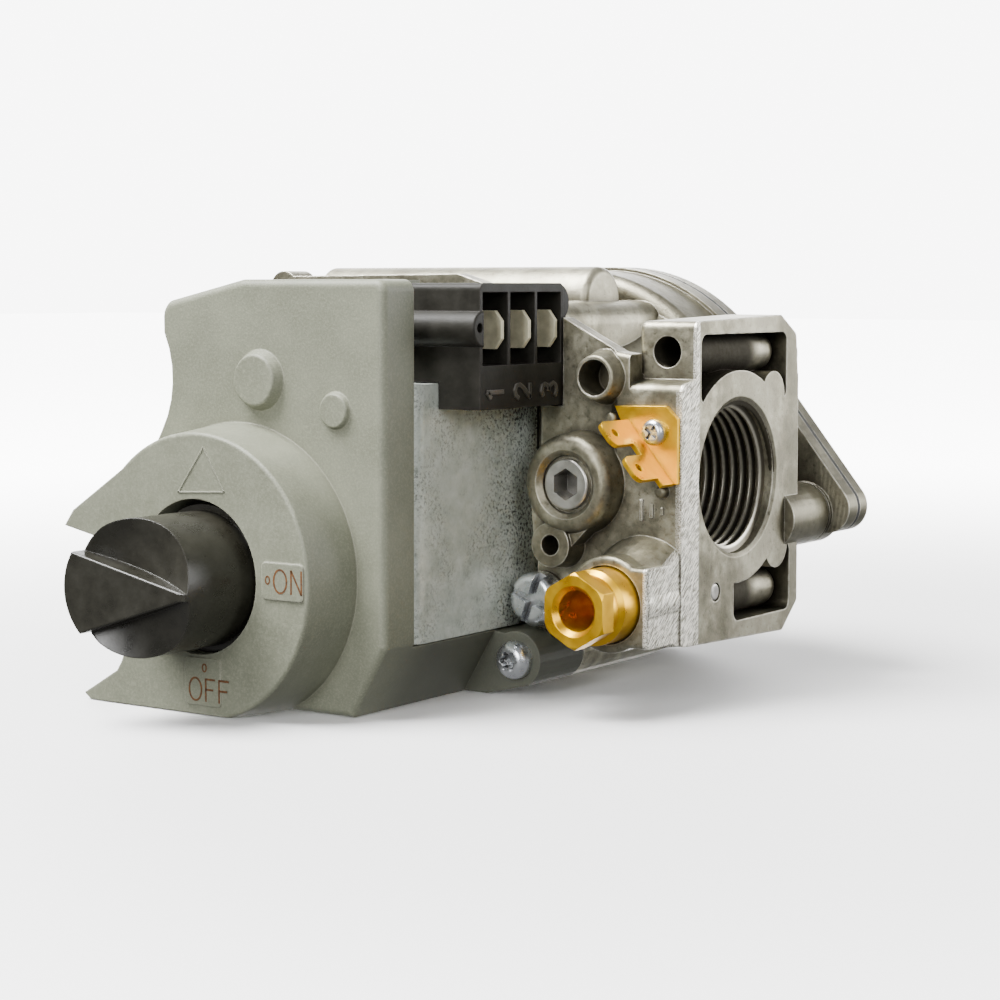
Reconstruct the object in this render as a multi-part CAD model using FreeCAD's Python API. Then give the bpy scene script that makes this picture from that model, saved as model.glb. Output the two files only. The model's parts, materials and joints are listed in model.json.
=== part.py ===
import FreeCAD, Part
import math
import os

# Combination gas control valve, 24 V, with a rotary on/off knob.
# Millimetres.  +X is the outlet thread axis, pointing out of the outlet; the knob faces -Y; +Z is up.
# The origin is the centre of the outlet mouth, on the outlet flange face.

# ---- ports -----------------------------------------------------------------------------------
FACE_TO_FACE = 95.25            # 3-3/4 in from the inlet face to the outlet face
THREAD_WALL_R = 13.2            # wall of a 3/4-14 NPT port at its thread roots
MOUTH_R = 13.9                  # chamfered mouth
MOUTH_CHAMFER = 0.45            # how deep the mouth's chamfer is
THREAD_LENGTH = 16.0
PASSAGE_R = 11.0
PASSAGE_END = 34.0              # how far each passage runs in from its face

# ---- flange blocks ---------------------------------------------------------------------------
FLANGE_DEPTH = 28.6
SHOULDER_Y = -19.6              # front face of each flange block
EAR_Y = -15.0                   # front face of the thinner ear at the block's top
EAR_X = -11.2                   # the ear stands from here to the flange face
LEDGE_Z = 17.2                  # the block's front steps back to the ear here
RECESS_DEPTH = 1.1
BLOCK_BACK_Y = 21.5
WALL_DRAFT = 1.4                # how much taller the back of the block is, at top and bottom
BLOCK_TOP = 26.9
BLOCK_BOTTOM = -27.4
PORT_BOSS_R = 18.4

# ---- central casting -------------------------------------------------------------------------
OPERATOR_Y = -12.0              # machined face that carries the operator
CORE_X = (-86.0, -27.5)
CORE_Z = (-30.0, 30.0)
RIDGE_R = 6.2
RIDGE_CENTRE = (8.0, 30.1)      # Y, Z
HOUSING_X = -46.5               # axis of the round diaphragm housing, along Y
HOUSING_Z = -0.5
DRUM_R = 36.2
DRUM_Y = 19.5
RIM_R = 36.9
RIM_Y = (32.0, 35.5)
LOBE_TIP_R = 4.6
LOBE_REACH = 47.4               # from the housing axis to each lobe's tip centre
LOBE_DROP = -7.4
FLOOR_Z = -37.4                 # lowest point, which the valve rests on

# ---- main valve, on the housing axis ---------------------------------------------------------
CHAMBER_R = 13.5
CHAMBER_Y = (9.0, 27.0)
SEAT_BORE_R = 8.5
SEAT_LIP = 1.2
LOWER_CHAMBER_Y = -4.0
PAN_R = 29.5
PAN_Y = 27.0
MAIN_TRAVEL = 3.0

# ---- operator --------------------------------------------------------------------------------
KNOB_X = -63.0
KNOB_Z = -15.1
COIL_X = -44.0
MAIN_COIL_Z = 5.0
PILOT_COIL_Z = -15.2
PLUNGER_TRAVEL = 1.6
GASKET_T = 0.5
PLATE_T = 1.6
PLATE_Y = OPERATOR_Y - GASKET_T - PLATE_T
SHEET_T = 1.2
FRAME_X = -33.0                 # outer face of the coil frame's side sheet
FRAME_Y = (-50.0, PLATE_Y)
FRAME_Z = (-26.0, 16.8)

# ---- cover -----------------------------------------------------------------------------------
COVER_FRONT_Y = -58.0
COVER_SIDE_X = -32.5
COVER_TOP_Z = 33.9
COVER_WALL = 2.0
COVER_EDGE_Y = -50.0            # the side wall ends here, beside the coil frame
SKIRT_BACK_Y = -12.3            # seam between the cover's skirt and the casting's foot
SHELL_BACK_Y = -20.0            # how deep the cover's left and top walls reach
SHELL_SPLIT_X = -53.5           # right of this the cover is cut back, clear of the coil frame
BOSS_FRONT_Y = -69.1
BOSS_FRONT_R = 23.7
BOSS_BASE_R = 24.9
BOSS_HOLE_R = 12.85
BOSS_Z = -14.7
EAR_SCREW = (-28.7, -31.0)      # X, Z of the cover's lower right screw
EAR_FACE_Y = -26.0

# ---- knob ------------------------------------------------------------------------------------
KNOB_R = 11.25
KNOB_COLLAR_R = 12.2
KNOB_FRONT_Y = -88.2            # front of the grip at its wide end
KNOB_NARROW_Y = -84.2           # front of the grip at its narrow end
KNOB_RIM_Y = -85.0
KNOB_BACK_Y = -63.0
DISH_R = 22.0
DISH_DEPTH = 3.1
SHAFT_R = 3.5

# ---- pilot outlet, pressure taps, adjusters ---------------------------------------------------
PILOT = (-8.2, -19.5)
PILOT_BOSS_R = 8.1
PILOT_FACE_Y = -30.0
TUBE_R = 3.4                    # bore of the nut and ferrule, for a 1/4 in tube
TAP = (-20.0, -0.6)
TAP_BOSS_R = 8.3
TAP_FACE_Y = -24.5
TAP_PLUG_R = 4.35
DRILLING = (-7.8, -19.2)        # Y, Z of the plugged drilling in the flange face
DRILLING_PLUG_R = 1.6
PILOT_ADJUST = (-27.0, -20.8)
EARTH_SCREW = (-4.6, 8.6)
LUG_HOLE = (-23.2, -11.1)
MOUNTING_HOLE = (-5.6, 21.8)
STUB = (-15.5, 17.5)
STUB_FACE_Y = -22.5
REGULATOR = (-66.0, 14.0)
REGULATOR_TOP_Y = -36.0

# ---- terminal block --------------------------------------------------------------------------
BLOCK_FACE_X = -24.5
TERMINAL_Y = (-42.8, -18.0)
TERMINAL_Z = (12.6, 33.3)
RIB_Y = -42.0                   # round rib on the block's front, ending in a pin hole
CELL_PITCH = 8.0
CELL_Y0 = -42.1
CELL_W = 7.3
CELL_Z = (19.8, 31.8)
TAB_W = 6.35
TAB_T = 0.8

V = FreeCAD.Vector
AXES = {"x": V(1, 0, 0), "y": V(0, 1, 0), "z": V(0, 0, 1)}


# ---- helpers ---------------------------------------------------------------------------------
def box(x, y, z):
    """Box from three (low, high) pairs."""
    return Part.makeBox(x[1] - x[0], y[1] - y[0], z[1] - z[0], V(x[0], y[0], z[0]))


def rod_y(centre, radius, y):
    """Cylinder along Y through (X, Z) between two Y values."""
    return Part.makeCylinder(radius, y[1] - y[0], V(centre[0], y[0], centre[1]), AXES["y"])


def rod_x(centre, radius, x):
    """Cylinder along X through (Y, Z) between two X values."""
    return Part.makeCylinder(radius, x[1] - x[0], V(x[0], centre[0], centre[1]), AXES["x"])


def cone_y(centre, y, radii):
    """Cone frustum along Y: radii at the low and the high Y value."""
    return Part.makeCone(radii[0], radii[1], y[1] - y[0], V(centre[0], y[0], centre[1]), AXES["y"])


def tube_y(centre, outer, inner, y):
    return rod_y(centre, outer, y).cut(rod_y(centre, inner, y))


def prism_y(points, y):
    """Polygon of (X, Z) points, extruded between two Y values."""
    ring = [V(px, y[0], pz) for px, pz in points]
    return Part.Face(Part.makePolygon(ring + ring[:1])).extrude(V(0, y[1] - y[0], 0))


def prism_x(points, x):
    """Polygon of (Y, Z) points, extruded between two X values."""
    ring = [V(x[0], py, pz) for py, pz in points]
    return Part.Face(Part.makePolygon(ring + ring[:1])).extrude(V(x[1] - x[0], 0, 0))


def hexagon_y(centre, across_flats, y, turn=0.0):
    """Hexagonal bar along Y; turn 0 puts a corner at the top."""
    corner_r = across_flats / math.sqrt(3.0)
    angles = [math.radians(90.0 + turn + 60.0 * i) for i in range(6)]
    return prism_y([(centre[0] + corner_r * math.cos(a), centre[1] + corner_r * math.sin(a)) for a in angles], y)


def fuse(*shapes):
    whole = shapes[0].multiFuse(list(shapes[1:]))
    return whole.removeSplitter()


def cut(shape, *tools):
    return shape.cut(list(tools))


def mirrored(shape):
    """The same shape on the inlet side: mirrored about the middle of the face to face length."""
    return shape.mirror(V(-FACE_TO_FACE / 2.0, 0, 0), V(1, 0, 0))


def fillet(shape, radius, wanted):
    """Round every edge for which wanted(edge) is true."""
    edges = [edge for edge in shape.Edges if wanted(edge)]
    return shape.makeFillet(radius, edges)


def runs_along(edge, axis):
    """True for a straight edge parallel to an axis."""
    if edge.Curve.TypeId != "Part::GeomLine":
        return False
    return abs(abs(edge.Curve.Direction.dot(AXES[axis])) - 1.0) < 1e-6


def at_y(edge, y):
    return abs(edge.BoundBox.YMin - y) < 1e-4 and abs(edge.BoundBox.YMax - y) < 1e-4


def at_x(edge, x):
    return abs(edge.BoundBox.XMin - x) < 1e-4 and abs(edge.BoundBox.XMax - x) < 1e-4


def helix_spring(centre, y, coil_r, wire_r, turns):
    """Compression spring along Y, drawn as a swept wire."""
    pitch = (y[1] - y[0] - 2.0 * wire_r) / turns
    path = Part.makeLongHelix(pitch, pitch * turns, coil_r)
    section = Part.Wire([Part.makeCircle(wire_r, V(coil_r, 0, 0), V(0, 1, 0))])
    coil = Part.Wire(path).makePipeShell([section], True, True)
    coil.rotate(V(0, 0, 0), V(1, 0, 0), -90.0)
    coil.translate(V(centre[0], y[0] + wire_r, centre[1]))
    return coil


def pan_screw_y(centre, head_y, shank_r, shank_end, head_r, head_h):
    """Pan head screw driven towards +Y; head_y is the plane under its head."""
    head = rod_y(centre, head_r, (head_y - head_h, head_y))
    head = fillet(head, head_h * 0.7, lambda e: at_y(e, head_y - head_h))
    return fuse(head, rod_y(centre, shank_r, (head_y, shank_end)))


def lobed_recess_y(centre, outer_r, y):
    """Six-lobe driver recess."""
    lobes = [rod_y(centre, outer_r * 0.78, y)]
    for i in range(6):
        a = math.radians(60.0 * i)
        lobe = (centre[0] + outer_r * 0.78 * math.cos(a), centre[1] + outer_r * 0.78 * math.sin(a))
        lobes.append(rod_y(lobe, outer_r * 0.24, y))
    return fuse(*lobes)


def slot_y(centre, length, width, y, turn):
    """Straight driver slot, turned about its own centre."""
    bar = box((-length / 2, length / 2), (0, y[1] - y[0]), (-width / 2, width / 2))
    bar.rotate(V(0, 0, 0), V(0, 1, 0), turn)
    bar.translate(V(centre[0], y[0], centre[1]))
    return bar


# ---- valve body ------------------------------------------------------------------------------
def flange_block():
    """Outlet block: the flange with its ear, and a wall whose top slopes down to the ear."""
    front, back = SHOULDER_Y, BLOCK_BACK_Y
    low = prism_x([(front, BLOCK_BOTTOM + 0.2), (front, LEDGE_Z - 0.8), (EAR_Y, LEDGE_Z), (back + 0.3, LEDGE_Z),
                   (back + 0.6, BLOCK_BOTTOM + 3.6), (back - 5.0, BLOCK_BOTTOM - WALL_DRAFT * 0.9),
                   (front + 2.5, BLOCK_BOTTOM)], (-FLANGE_DEPTH, 0.0))
    low = fillet(low, 1.0, lambda e: runs_along(e, "x") and e.BoundBox.ZMax < LEDGE_Z - 1.0)
    low = fillet(low, 1.6, lambda e: runs_along(e, "x") and abs(e.BoundBox.ZMin - LEDGE_Z + 0.8) < 1e-4)
    ear = prism_x([(EAR_Y, LEDGE_Z - 2.0), (EAR_Y, BLOCK_TOP), (back - 6.5, BLOCK_TOP + WALL_DRAFT * 0.6),
                   (back - 0.6, BLOCK_TOP - 2.6), (back + 0.3, LEDGE_Z - 2.0)], (EAR_X, 0.0))
    ear = fillet(ear, 1.3, lambda e: runs_along(e, "x") and e.BoundBox.ZMin > LEDGE_Z)
    ear = fillet(ear, 1.2, lambda e: at_x(e, EAR_X) and e.BoundBox.ZMin > LEDGE_Z + 1.0)
    wall = prism_y([(-FLANGE_DEPTH, 12.0), (EAR_X + 1.0, 12.0), (EAR_X + 1.0, 21.4), (-12.9, 21.8),
                    (-24.0, 27.4), (-FLANGE_DEPTH, 28.6)], (front, front + 4.0))
    wall = fillet(wall, 0.8, lambda e: at_y(e, front) and e.BoundBox.ZMin > 21.0)
    bulges = [rod_x((back - 1.9, z), 3.2, (EAR_X + 0.5, -0.7)) for z in (20.6, -20.4)]
    return fuse(cut(fuse(low, wall), ledge_recess()), ear, *bulges)


def ledge_recess():
    """Shallow recess round the stub, with a sloping edge beside the ledge."""
    front, floor = SHOULDER_Y - 1.0, SHOULDER_Y + RECESS_DEPTH
    slope = [(-12.6, front), (-12.6, SHOULDER_Y - 0.01), (-14.4, floor), (-FLANGE_DEPTH - 1.0, floor),
             (-FLANGE_DEPTH - 1.0, front)]
    ring = [V(px, py, 3.0) for px, py in slope]
    return Part.Face(Part.makePolygon(ring + ring[:1])).extrude(V(0, 0, 40.0))


def flange_pockets():
    """Two cored pockets in the flange face that leave the port's round boss standing."""
    upper = box((-9.0, 1.0), (-13.3, 17.2), (13.0, 24.7))
    lower = box((-9.0, 1.0), (-1.5, 19.0), (-25.0, -13.0))
    round_wall = rod_x((0.0, 0.0), PORT_BOSS_R, (-10.0, 2.0))
    side_wall = rod_x((12.4, 13.8), 4.1, (-10.0, 2.0))
    low_wall = rod_x((14.0, -13.0), 4.1, (-10.0, 2.0))
    upper = fillet(upper, 1.6, lambda e: runs_along(e, "x"))
    lower = fillet(lower, 1.6, lambda e: runs_along(e, "x"))
    return [cut(upper, round_wall, side_wall), cut(lower, round_wall, low_wall)]


def pocket_bars():
    """Round bars that cross the pockets: the walls of the mounting holes drilled from the front."""
    bars = []
    for z, y in ((21.3, (-13.3, 14.2)), (-21.0, (2.0, 16.0))):
        bars.append(rod_y((-5.6, z), 3.7, y))
        bars.append(Part.makeSphere(3.7, V(-5.6, y[1], z)))
    return bars


def front_boss(centre, radius, face_y, root_y, spread):
    """Boss on the front of the casting, with draft."""
    height = root_y - face_y
    return cone_y(centre, (face_y, root_y), (radius, radius + height * spread))


def shoulder_features():
    """Bosses and lugs on the outlet block's front face."""
    parts = []
    tap_boss = front_boss(TAP, TAP_BOSS_R, TAP_FACE_Y, SHOULDER_Y + 1.0, 0.12)
    parts.append(fillet(tap_boss, 1.8, lambda e: at_y(e, TAP_FACE_Y)))
    parts.append(front_boss(LUG_HOLE, 3.8, -24.0, SHOULDER_Y + 1.0, 0.10))
    stub = front_boss(STUB, 3.7, STUB_FACE_Y, SHOULDER_Y + 2.0, 0.25)
    parts.append(fillet(stub, 0.4, lambda e: at_y(e, STUB_FACE_Y)))
    pilot_boss = fuse(rod_y(PILOT, PILOT_BOSS_R, (PILOT_FACE_Y, SHOULDER_Y + 2.0)),
                      box((PILOT[0], -0.3), (PILOT_FACE_Y, SHOULDER_Y + 2.0), (PILOT[1] - 6.9, PILOT[1] + 6.4)))
    parts.append(fillet(pilot_boss, 0.7, lambda e: at_y(e, PILOT_FACE_Y)))
    skirting = cone_y((PILOT[0] + 1.0, PILOT[1]), (-28.0, SHOULDER_Y + 1.0), (7.0, 11.0))
    parts.append(skirting.common(box((-40.0, -0.3), (-30.0, 0.0), (PILOT[1] - 7.5, 0.0))))
    parts.append(front_boss(PILOT_ADJUST, 4.6, -20.6, OPERATOR_Y + 1.0, 0.01))
    return parts


def web_to_lug():
    """Wall that joins the tap boss to the lug below it."""
    points = [(-27.6, -2.0), (-26.9, -10.5), (-19.6, -11.5), (-13.0, -5.0), (-14.0, 0.0)]
    return prism_y(points, (-23.4, SHOULDER_Y + 1.0))


def shoulder_cuts():
    """Machined holes in the outlet block's front face."""
    cuts = []
    cuts.append(cone_y(TAP, (TAP_FACE_Y - 0.01, TAP_FACE_Y + 0.9), (5.9, 4.95)))
    cuts.append(rod_y(TAP, 4.95, (TAP_FACE_Y + 0.8, TAP_FACE_Y + 1.5)))
    cuts.append(rod_y(TAP, TAP_PLUG_R + 0.03, (TAP_FACE_Y - 1.0, -13.0)))
    cuts.append(rod_y(TAP, 1.2, (-13.5, -9.0)))
    cuts.append(rod_y(LUG_HOLE, 1.75, (-26.0, -16.5)))
    cuts.append(rod_y(STUB, 3.05, (-26.0, -16.0)))
    cuts += [mounting_hole(), mirrored(mounting_hole())]
    cuts.append(rod_y(PILOT, 6.6, (PILOT_FACE_Y - 1.0, PILOT_FACE_Y + 1.2)))
    cuts.append(rod_y(PILOT, 5.55, (PILOT_FACE_Y - 1.0, -21.0)))
    cuts.append(rod_y(PILOT, 3.7, (-22.0, -16.5)))
    cuts.append(rod_y(PILOT, 1.2, (-17.0, -14.5)))
    cuts.append(rod_x((-15.0, PILOT[1]), 1.2, (COIL_X, PILOT[0] + 1.0)))
    cuts.append(rod_y(PILOT_ADJUST, 3.2, (-22.0, -17.4)))
    cuts.append(rod_y(PILOT_ADJUST, 1.6, (-18.0, -13.4)))
    cuts.append(rod_x(DRILLING, DRILLING_PLUG_R + 0.02, (-5.0, 1.0)))
    cuts.append(rod_x(DRILLING, 1.0, (-11.0, -4.0)))
    return cuts


def mounting_hole():
    """Bracket hole through the outlet block's ear."""
    return rod_y(MOUNTING_HOLE, 2.65, (EAR_Y - 1.0, 9.0))


def operator_bay():
    """Room for the operator plate and for the terminal block in front of the casting."""
    beside_inlet = box((-79.6, -66.0), (SHOULDER_Y - 1.0, OPERATOR_Y), (-32.0, 9.0))
    behind_terminals = box((-52.0, BLOCK_FACE_X + 0.3), (-30.0, TERMINAL_Y[1] + 2.6), (TERMINAL_Z[0] - 0.3, 40.0))
    return [beside_inlet, behind_terminals]


def housing_lobe(side):
    """Pointed lobe of the housing rim: two straight edges from the rim circle to a rounded tip."""
    tip = (HOUSING_X + side * LOBE_REACH, HOUSING_Z + LOBE_DROP)
    upper = (HOUSING_X + side * 28.9, HOUSING_Z + 22.9)
    lower = (HOUSING_X + side * 33.5, HOUSING_Z - 15.4)
    web = prism_y([upper, (tip[0] + side * 3.6, tip[1] + 2.86), (tip[0] + side * 1.6, tip[1] - 4.3), lower,
                   (HOUSING_X, HOUSING_Z)], RIM_Y)
    post = (tip[0] - side * 4.6, tip[1] - 1.0)
    return [web, rod_y(tip, LOBE_TIP_R, RIM_Y),
            fuse(rod_y(post, 5.7, (17.0, 30.6)), rod_y(post, 5.3, (30.0, 31.6)), rod_y(post, 5.7, (31.2, RIM_Y[1])))]


def lower_case():
    """Foot of the casting behind the cover's skirt."""
    foot = prism_y(skirt_outline(0.1), (SKIRT_BACK_Y + 0.3, DRUM_Y + 2.0))
    heel = prism_x([(-14.0, FLOOR_Z - 1.0), (-5.0, FLOOR_Z), (DRUM_Y + 3.0, FLOOR_Z + 3.4),
                    (DRUM_Y + 3.0, FLOOR_Z - 1.0)], (-80.0, -20.0))
    return cut(foot, heel)


def top_saddle():
    """Hollowed slope of the casting between the ridge, the housing and the ear."""
    saddle = prism_y([(-FLANGE_DEPTH - 1.5, 12.0), (EAR_X + 1.0, 12.0), (EAR_X + 1.0, 21.2), (-12.9, 21.7),
                      (-FLANGE_DEPTH - 1.5, 29.8)], (SHOULDER_Y + 3.0, DRUM_Y + 1.0))
    hollow = Part.makeCylinder(34.0, 60.0, V(-50.0, 1.5, 70.5), V(0.898, 0, -0.44))
    return cut(saddle, hollow)


def front_rib():
    """Rib along the top front of the casting, from the inlet block, with a rounded boss at its end."""
    rib = prism_y([(-93.0, 24.0), (-93.0, 34.6), (-51.0, 35.0), (-45.0, 33.2), (-41.0, 24.0)],
                  (OPERATOR_Y, OPERATOR_Y + 3.2))
    boss = rod_y((-91.4, 32.4), 3.2, (OPERATOR_Y, OPERATOR_Y + 6.0))
    return [rib, boss]


def cast_marks():
    """Three plain raised bars on the shoulder, each shorter than the one before."""
    bars = []
    for i in range(3):
        x = -8.0 + 2.0 * i
        bars.append(box((x, x + 0.6), (SHOULDER_Y - 0.3, SHOULDER_Y + 0.5), (-6.4 + 0.6 * i, -2.8 - 0.6 * i)))
    return bars


def locating_pips():
    """Two cast pips beside the earth plate."""
    pips = []
    for x, z in ((-13.1, 10.7), (-3.4, -1.3)):
        pip = rod_y((x, z), 1.05, (SHOULDER_Y - 1.7, SHOULDER_Y + 1.6))
        pips.append(fillet(pip, 0.6, lambda e: at_y(e, SHOULDER_Y - 1.7)))
    return pips


def port(depth):
    """Threaded port with a chamfered mouth, and the passage behind it."""
    mouth = Part.makeCone(THREAD_WALL_R, MOUTH_R, MOUTH_CHAMFER, V(-MOUTH_CHAMFER, 0, 0), AXES["x"])
    return fuse(rod_x((0, 0), THREAD_WALL_R, (-THREAD_LENGTH, 0.5)), rod_x((0, 0), PASSAGE_R, (-depth, 0.0)), mouth)


def internal_passages():
    """Ports, chambers and drillings inside the casting."""
    seat = (HOUSING_X, HOUSING_Z)
    voids = []
    voids.append(port(PASSAGE_END))
    voids.append(mirrored(port(PASSAGE_END - 1.0)))
    voids.append(box((-36.0, -19.0), (2.0, 17.5), (-6.5, 6.5)))
    voids.append(rod_y(seat, PAN_R, (PAN_Y, RIM_Y[1] + 1.0)))
    voids.append(cut(rod_y(seat, CHAMBER_R, (CHAMBER_Y[0], PAN_Y + 1.0)),
                     tube_y(seat, SEAT_BORE_R + 1.6, SEAT_BORE_R, (CHAMBER_Y[0] - 1.0, CHAMBER_Y[0] + SEAT_LIP))))
    voids.append(rod_y(seat, SEAT_BORE_R, (LOWER_CHAMBER_Y, CHAMBER_Y[0] + 2.0)))
    voids.append(rod_y((COIL_X, MAIN_COIL_Z), 8.5, (OPERATOR_Y - 1.0, -7.0)))
    voids.append(rod_y((COIL_X, MAIN_COIL_Z), 3.2, (-8.0, LOWER_CHAMBER_Y + 0.5)))
    voids.append(rod_y((COIL_X, PILOT_COIL_Z), 6.5, (OPERATOR_Y - 1.0, -8.0)))
    voids.append(rod_y((COIL_X, PILOT_COIL_Z), 1.4, (-9.0, -4.0)))
    voids.append(rod_y((KNOB_X, KNOB_Z), 10.5, (OPERATOR_Y - 1.0, -2.0)))
    voids.append(box((-57.0, -45.0), (OPERATOR_Y - 1.0, -8.5), (-8.5, 2.0)))
    voids.append(box((-45.5, -41.5), (OPERATOR_Y - 1.0, -9.5), (-9.5, -3.0)))
    return voids


def regulator_tower():
    """Round tower on the front that holds the pressure regulator."""
    return front_boss(REGULATOR, 7.4, REGULATOR_TOP_Y, OPERATOR_Y + 1.0, 0.02)


def body_screw_holes():
    holes = [rod_y(p, 1.45, (RIM_Y[0] - 6.0, RIM_Y[1] + 1.0)) for p in rim_screw_places()]
    holes += [rod_y(p, 1.45, (OPERATOR_Y - 1.0, -5.0)) for p in plate_screw_places()]
    holes += [rod_y(p, 1.45, (SKIRT_BACK_Y - 1.0, 10.0)) for p in cover_screw_places()]
    return holes


def rim_screw_places():
    """Screws around the diaphragm cover: eight on the rim and one in each lobe."""
    places = []
    for i in range(8):
        a = math.radians(22.5 + 45.0 * i)
        places.append((HOUSING_X + 33.2 * math.cos(a), HOUSING_Z + 33.2 * math.sin(a)))
    for side in (-1.0, 1.0):
        places.append((HOUSING_X + side * (LOBE_REACH - 4.6), HOUSING_Z + LOBE_DROP - 1.0))
    return places


def plate_screw_places():
    return [(-73.2, -26.2), (-74.0, 1.5), (-55.6, 9.5), (-54.2, -26.2)]


def cover_screw_places():
    return [EAR_SCREW, (-70.0, -31.4)]


def valve_body():
    core = box(CORE_X, (OPERATOR_Y, DRUM_Y + 4.0), CORE_Z)
    core = fillet(core, 4.0, lambda e: runs_along(e, "y"))
    block = flange_block()
    beside_inlet, behind_terminals = operator_bay()
    ridge = rod_x(RIDGE_CENTRE, RIDGE_R, (-FACE_TO_FACE + 1.0, COVER_SIDE_X))
    ridge = fillet(ridge, 1.5, lambda e: at_x(e, COVER_SIDE_X))
    drum = rod_y((HOUSING_X, HOUSING_Z), DRUM_R, (DRUM_Y, RIM_Y[0] + 0.5))
    drum = fillet(drum, 2.5, lambda e: at_y(e, DRUM_Y))
    rim = rod_y((HOUSING_X, HOUSING_Z), RIM_R, RIM_Y)
    solids = [core, block.cut(behind_terminals), cut(mirrored(block), beside_inlet), ridge, drum, rim, lower_case(),
              top_saddle().cut(behind_terminals), mirrored(top_saddle())]
    solids += shoulder_features() + [web_to_lug(), mirrored(web_inlet_tap()), regulator_tower()]
    solids += front_rib() + cast_marks() + locating_pips()
    for side in (-1.0, 1.0):
        solids += housing_lobe(side)
    pockets = flange_pockets()
    body = cut(fuse(*solids), *pockets)
    body = cut(body, *[mirrored(p) for p in pockets])
    bars = pocket_bars()
    body = fuse(body, *bars, *[mirrored(b) for b in bars])
    drilled = shoulder_cuts() + inlet_tap_cuts() + regulator_cuts() + body_screw_holes()
    return cut(body, *internal_passages(), *drilled)


def web_inlet_tap():
    """Boss for the inlet pressure tap, given on the outlet side."""
    return front_boss((-9.0, 12.5), 6.2, -22.5, SHOULDER_Y + 4.0, 0.1)


def inlet_tap_place():
    return (-FACE_TO_FACE + 9.0, 12.5)


def inlet_tap_cuts():
    place = inlet_tap_place()
    return [rod_y(place, TAP_PLUG_R + 0.03, (-24.0, -14.5)), rod_y(place, 1.2, (-15.0, -7.0))]


def regulator_cuts():
    return [rod_y(REGULATOR, 5.4, (REGULATOR_TOP_Y - 1.0, -13.0)), rod_y(REGULATOR, 1.5, (-14.0, -5.0))]


# ---- diaphragm housing -----------------------------------------------------------------------
def rim_outline(y):
    """The outline of the rim and its lobes as a plate between two Y values."""
    plates = [rod_y((HOUSING_X, HOUSING_Z), RIM_R, y)]
    for side in (-1.0, 1.0):
        web, tip, boss = housing_lobe(side)
        low, high = RIM_Y
        for piece in (web, tip):
            flat = piece.copy()
            flat = flat.common(box((-200, 200), (low, high), (-100, 100)))
            flat.translate(V(0, y[0] - low, 0))
            plates.append(flat.common(box((-200, 200), y, (-100, 100))))
    return fuse(*plates)


def diaphragm_cover():
    """Cast cover at the back: a flat rim and a shallow dome with a vent boss."""
    seat = (HOUSING_X, HOUSING_Z)
    rim = rim_outline((RIM_Y[1] + 1.0, RIM_Y[1] + 4.0))
    dome = cone_y(seat, (RIM_Y[1] + 3.5, RIM_Y[1] + 12.0), (29.0, 25.0))
    dome = fillet(dome, 3.0, lambda e: at_y(e, RIM_Y[1] + 12.0))
    vent = rod_y((HOUSING_X + 14.0, HOUSING_Z + 10.0), 4.5, (RIM_Y[1] + 10.0, RIM_Y[1] + 13.5))
    cover = fuse(rim, dome, vent)
    hollow = cone_y(seat, (RIM_Y[1] + 0.5, RIM_Y[1] + 10.0), (27.0, 23.0))
    holes = [rod_y(p, 1.7, (RIM_Y[1], RIM_Y[1] + 6.0)) for p in rim_screw_places()]
    spring_seat = tube_y(seat, 9.0, 7.6, (RIM_Y[1] + 8.0, RIM_Y[1] + 10.5))
    cover = cut(cover, hollow, rod_y((HOUSING_X + 14.0, HOUSING_Z + 10.0), 1.0, (40.0, 60.0)), *holes)
    return fuse(cover, spring_seat)


def rear_screws():
    """Ten pan head screws that hold the diaphragm cover."""
    screws = []
    for place in rim_screw_places():
        screw = pan_screw_y(place, 0.0, 1.4, 8.5, 2.9, 2.2)
        recess = lobed_recess_y(place, 1.5, (-2.6, -1.0))
        screw = cut(screw, recess)
        screw.rotate(V(place[0], 0, place[1]), V(0, 0, 1), 180.0)
        screw.translate(V(0, RIM_Y[1] + 4.0, 0))
        screws.append(screw)
    return Part.makeCompound(screws)


def diaphragm():
    """Rubber diaphragm: clamped rim, one convolution and an open centre for the plate."""
    seat = (HOUSING_X, HOUSING_Z)
    y = RIM_Y[1]
    sheet = rim_outline((y, y + 1.0))
    inner = rod_y(seat, 17.3, (y - 4.0, y + 4.0))
    roll = Part.makeTorus(20.8, 2.6, V(seat[0], y + 0.5, seat[1]), AXES["y"])
    hollow = Part.makeTorus(20.8, 1.8, V(seat[0], y + 0.5, seat[1]), AXES["y"])
    groove = rod_y(seat, 22.9, (y - 1.0, y + 2.0)).cut(rod_y(seat, 18.7, (y - 1.0, y + 2.0)))
    convolution = roll.cut([hollow, rod_y(seat, 60.0, (y - 10.0, y + 0.2))])
    holes = [rod_y(p, 1.6, (y - 1.0, y + 2.0)) for p in rim_screw_places()]
    return fuse(cut(sheet, inner, groove, *holes), convolution)


def diaphragm_plate():
    """Metal plate and stem that the diaphragm moves."""
    seat = (HOUSING_X, HOUSING_Z)
    plate = rod_y(seat, 17.0, (RIM_Y[1] - 1.2, RIM_Y[1] + 0.8))
    plate = fillet(plate, 0.5, lambda e: at_y(e, RIM_Y[1] + 0.8))
    stem = rod_y(seat, 2.5, (CHAMBER_Y[0] + SEAT_LIP + 1.5, RIM_Y[1]))
    return fuse(plate, stem)


def main_poppet():
    """Metal cup that carries the main valve's rubber disc."""
    seat = (HOUSING_X, HOUSING_Z)
    low = CHAMBER_Y[0] + SEAT_LIP
    cup = rod_y(seat, 11.0, (low + 0.6, low + 4.0))
    return cut(cup, rod_y(seat, 10.3, (low, low + 1.5)), rod_y(seat, 2.52, (low, low + 5.0)))


def main_seat_disc():
    """Rubber disc that closes the main port."""
    seat = (HOUSING_X, HOUSING_Z)
    low = CHAMBER_Y[0] + SEAT_LIP
    return rod_y(seat, 10.28, (low + 0.02, low + 1.48))


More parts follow.
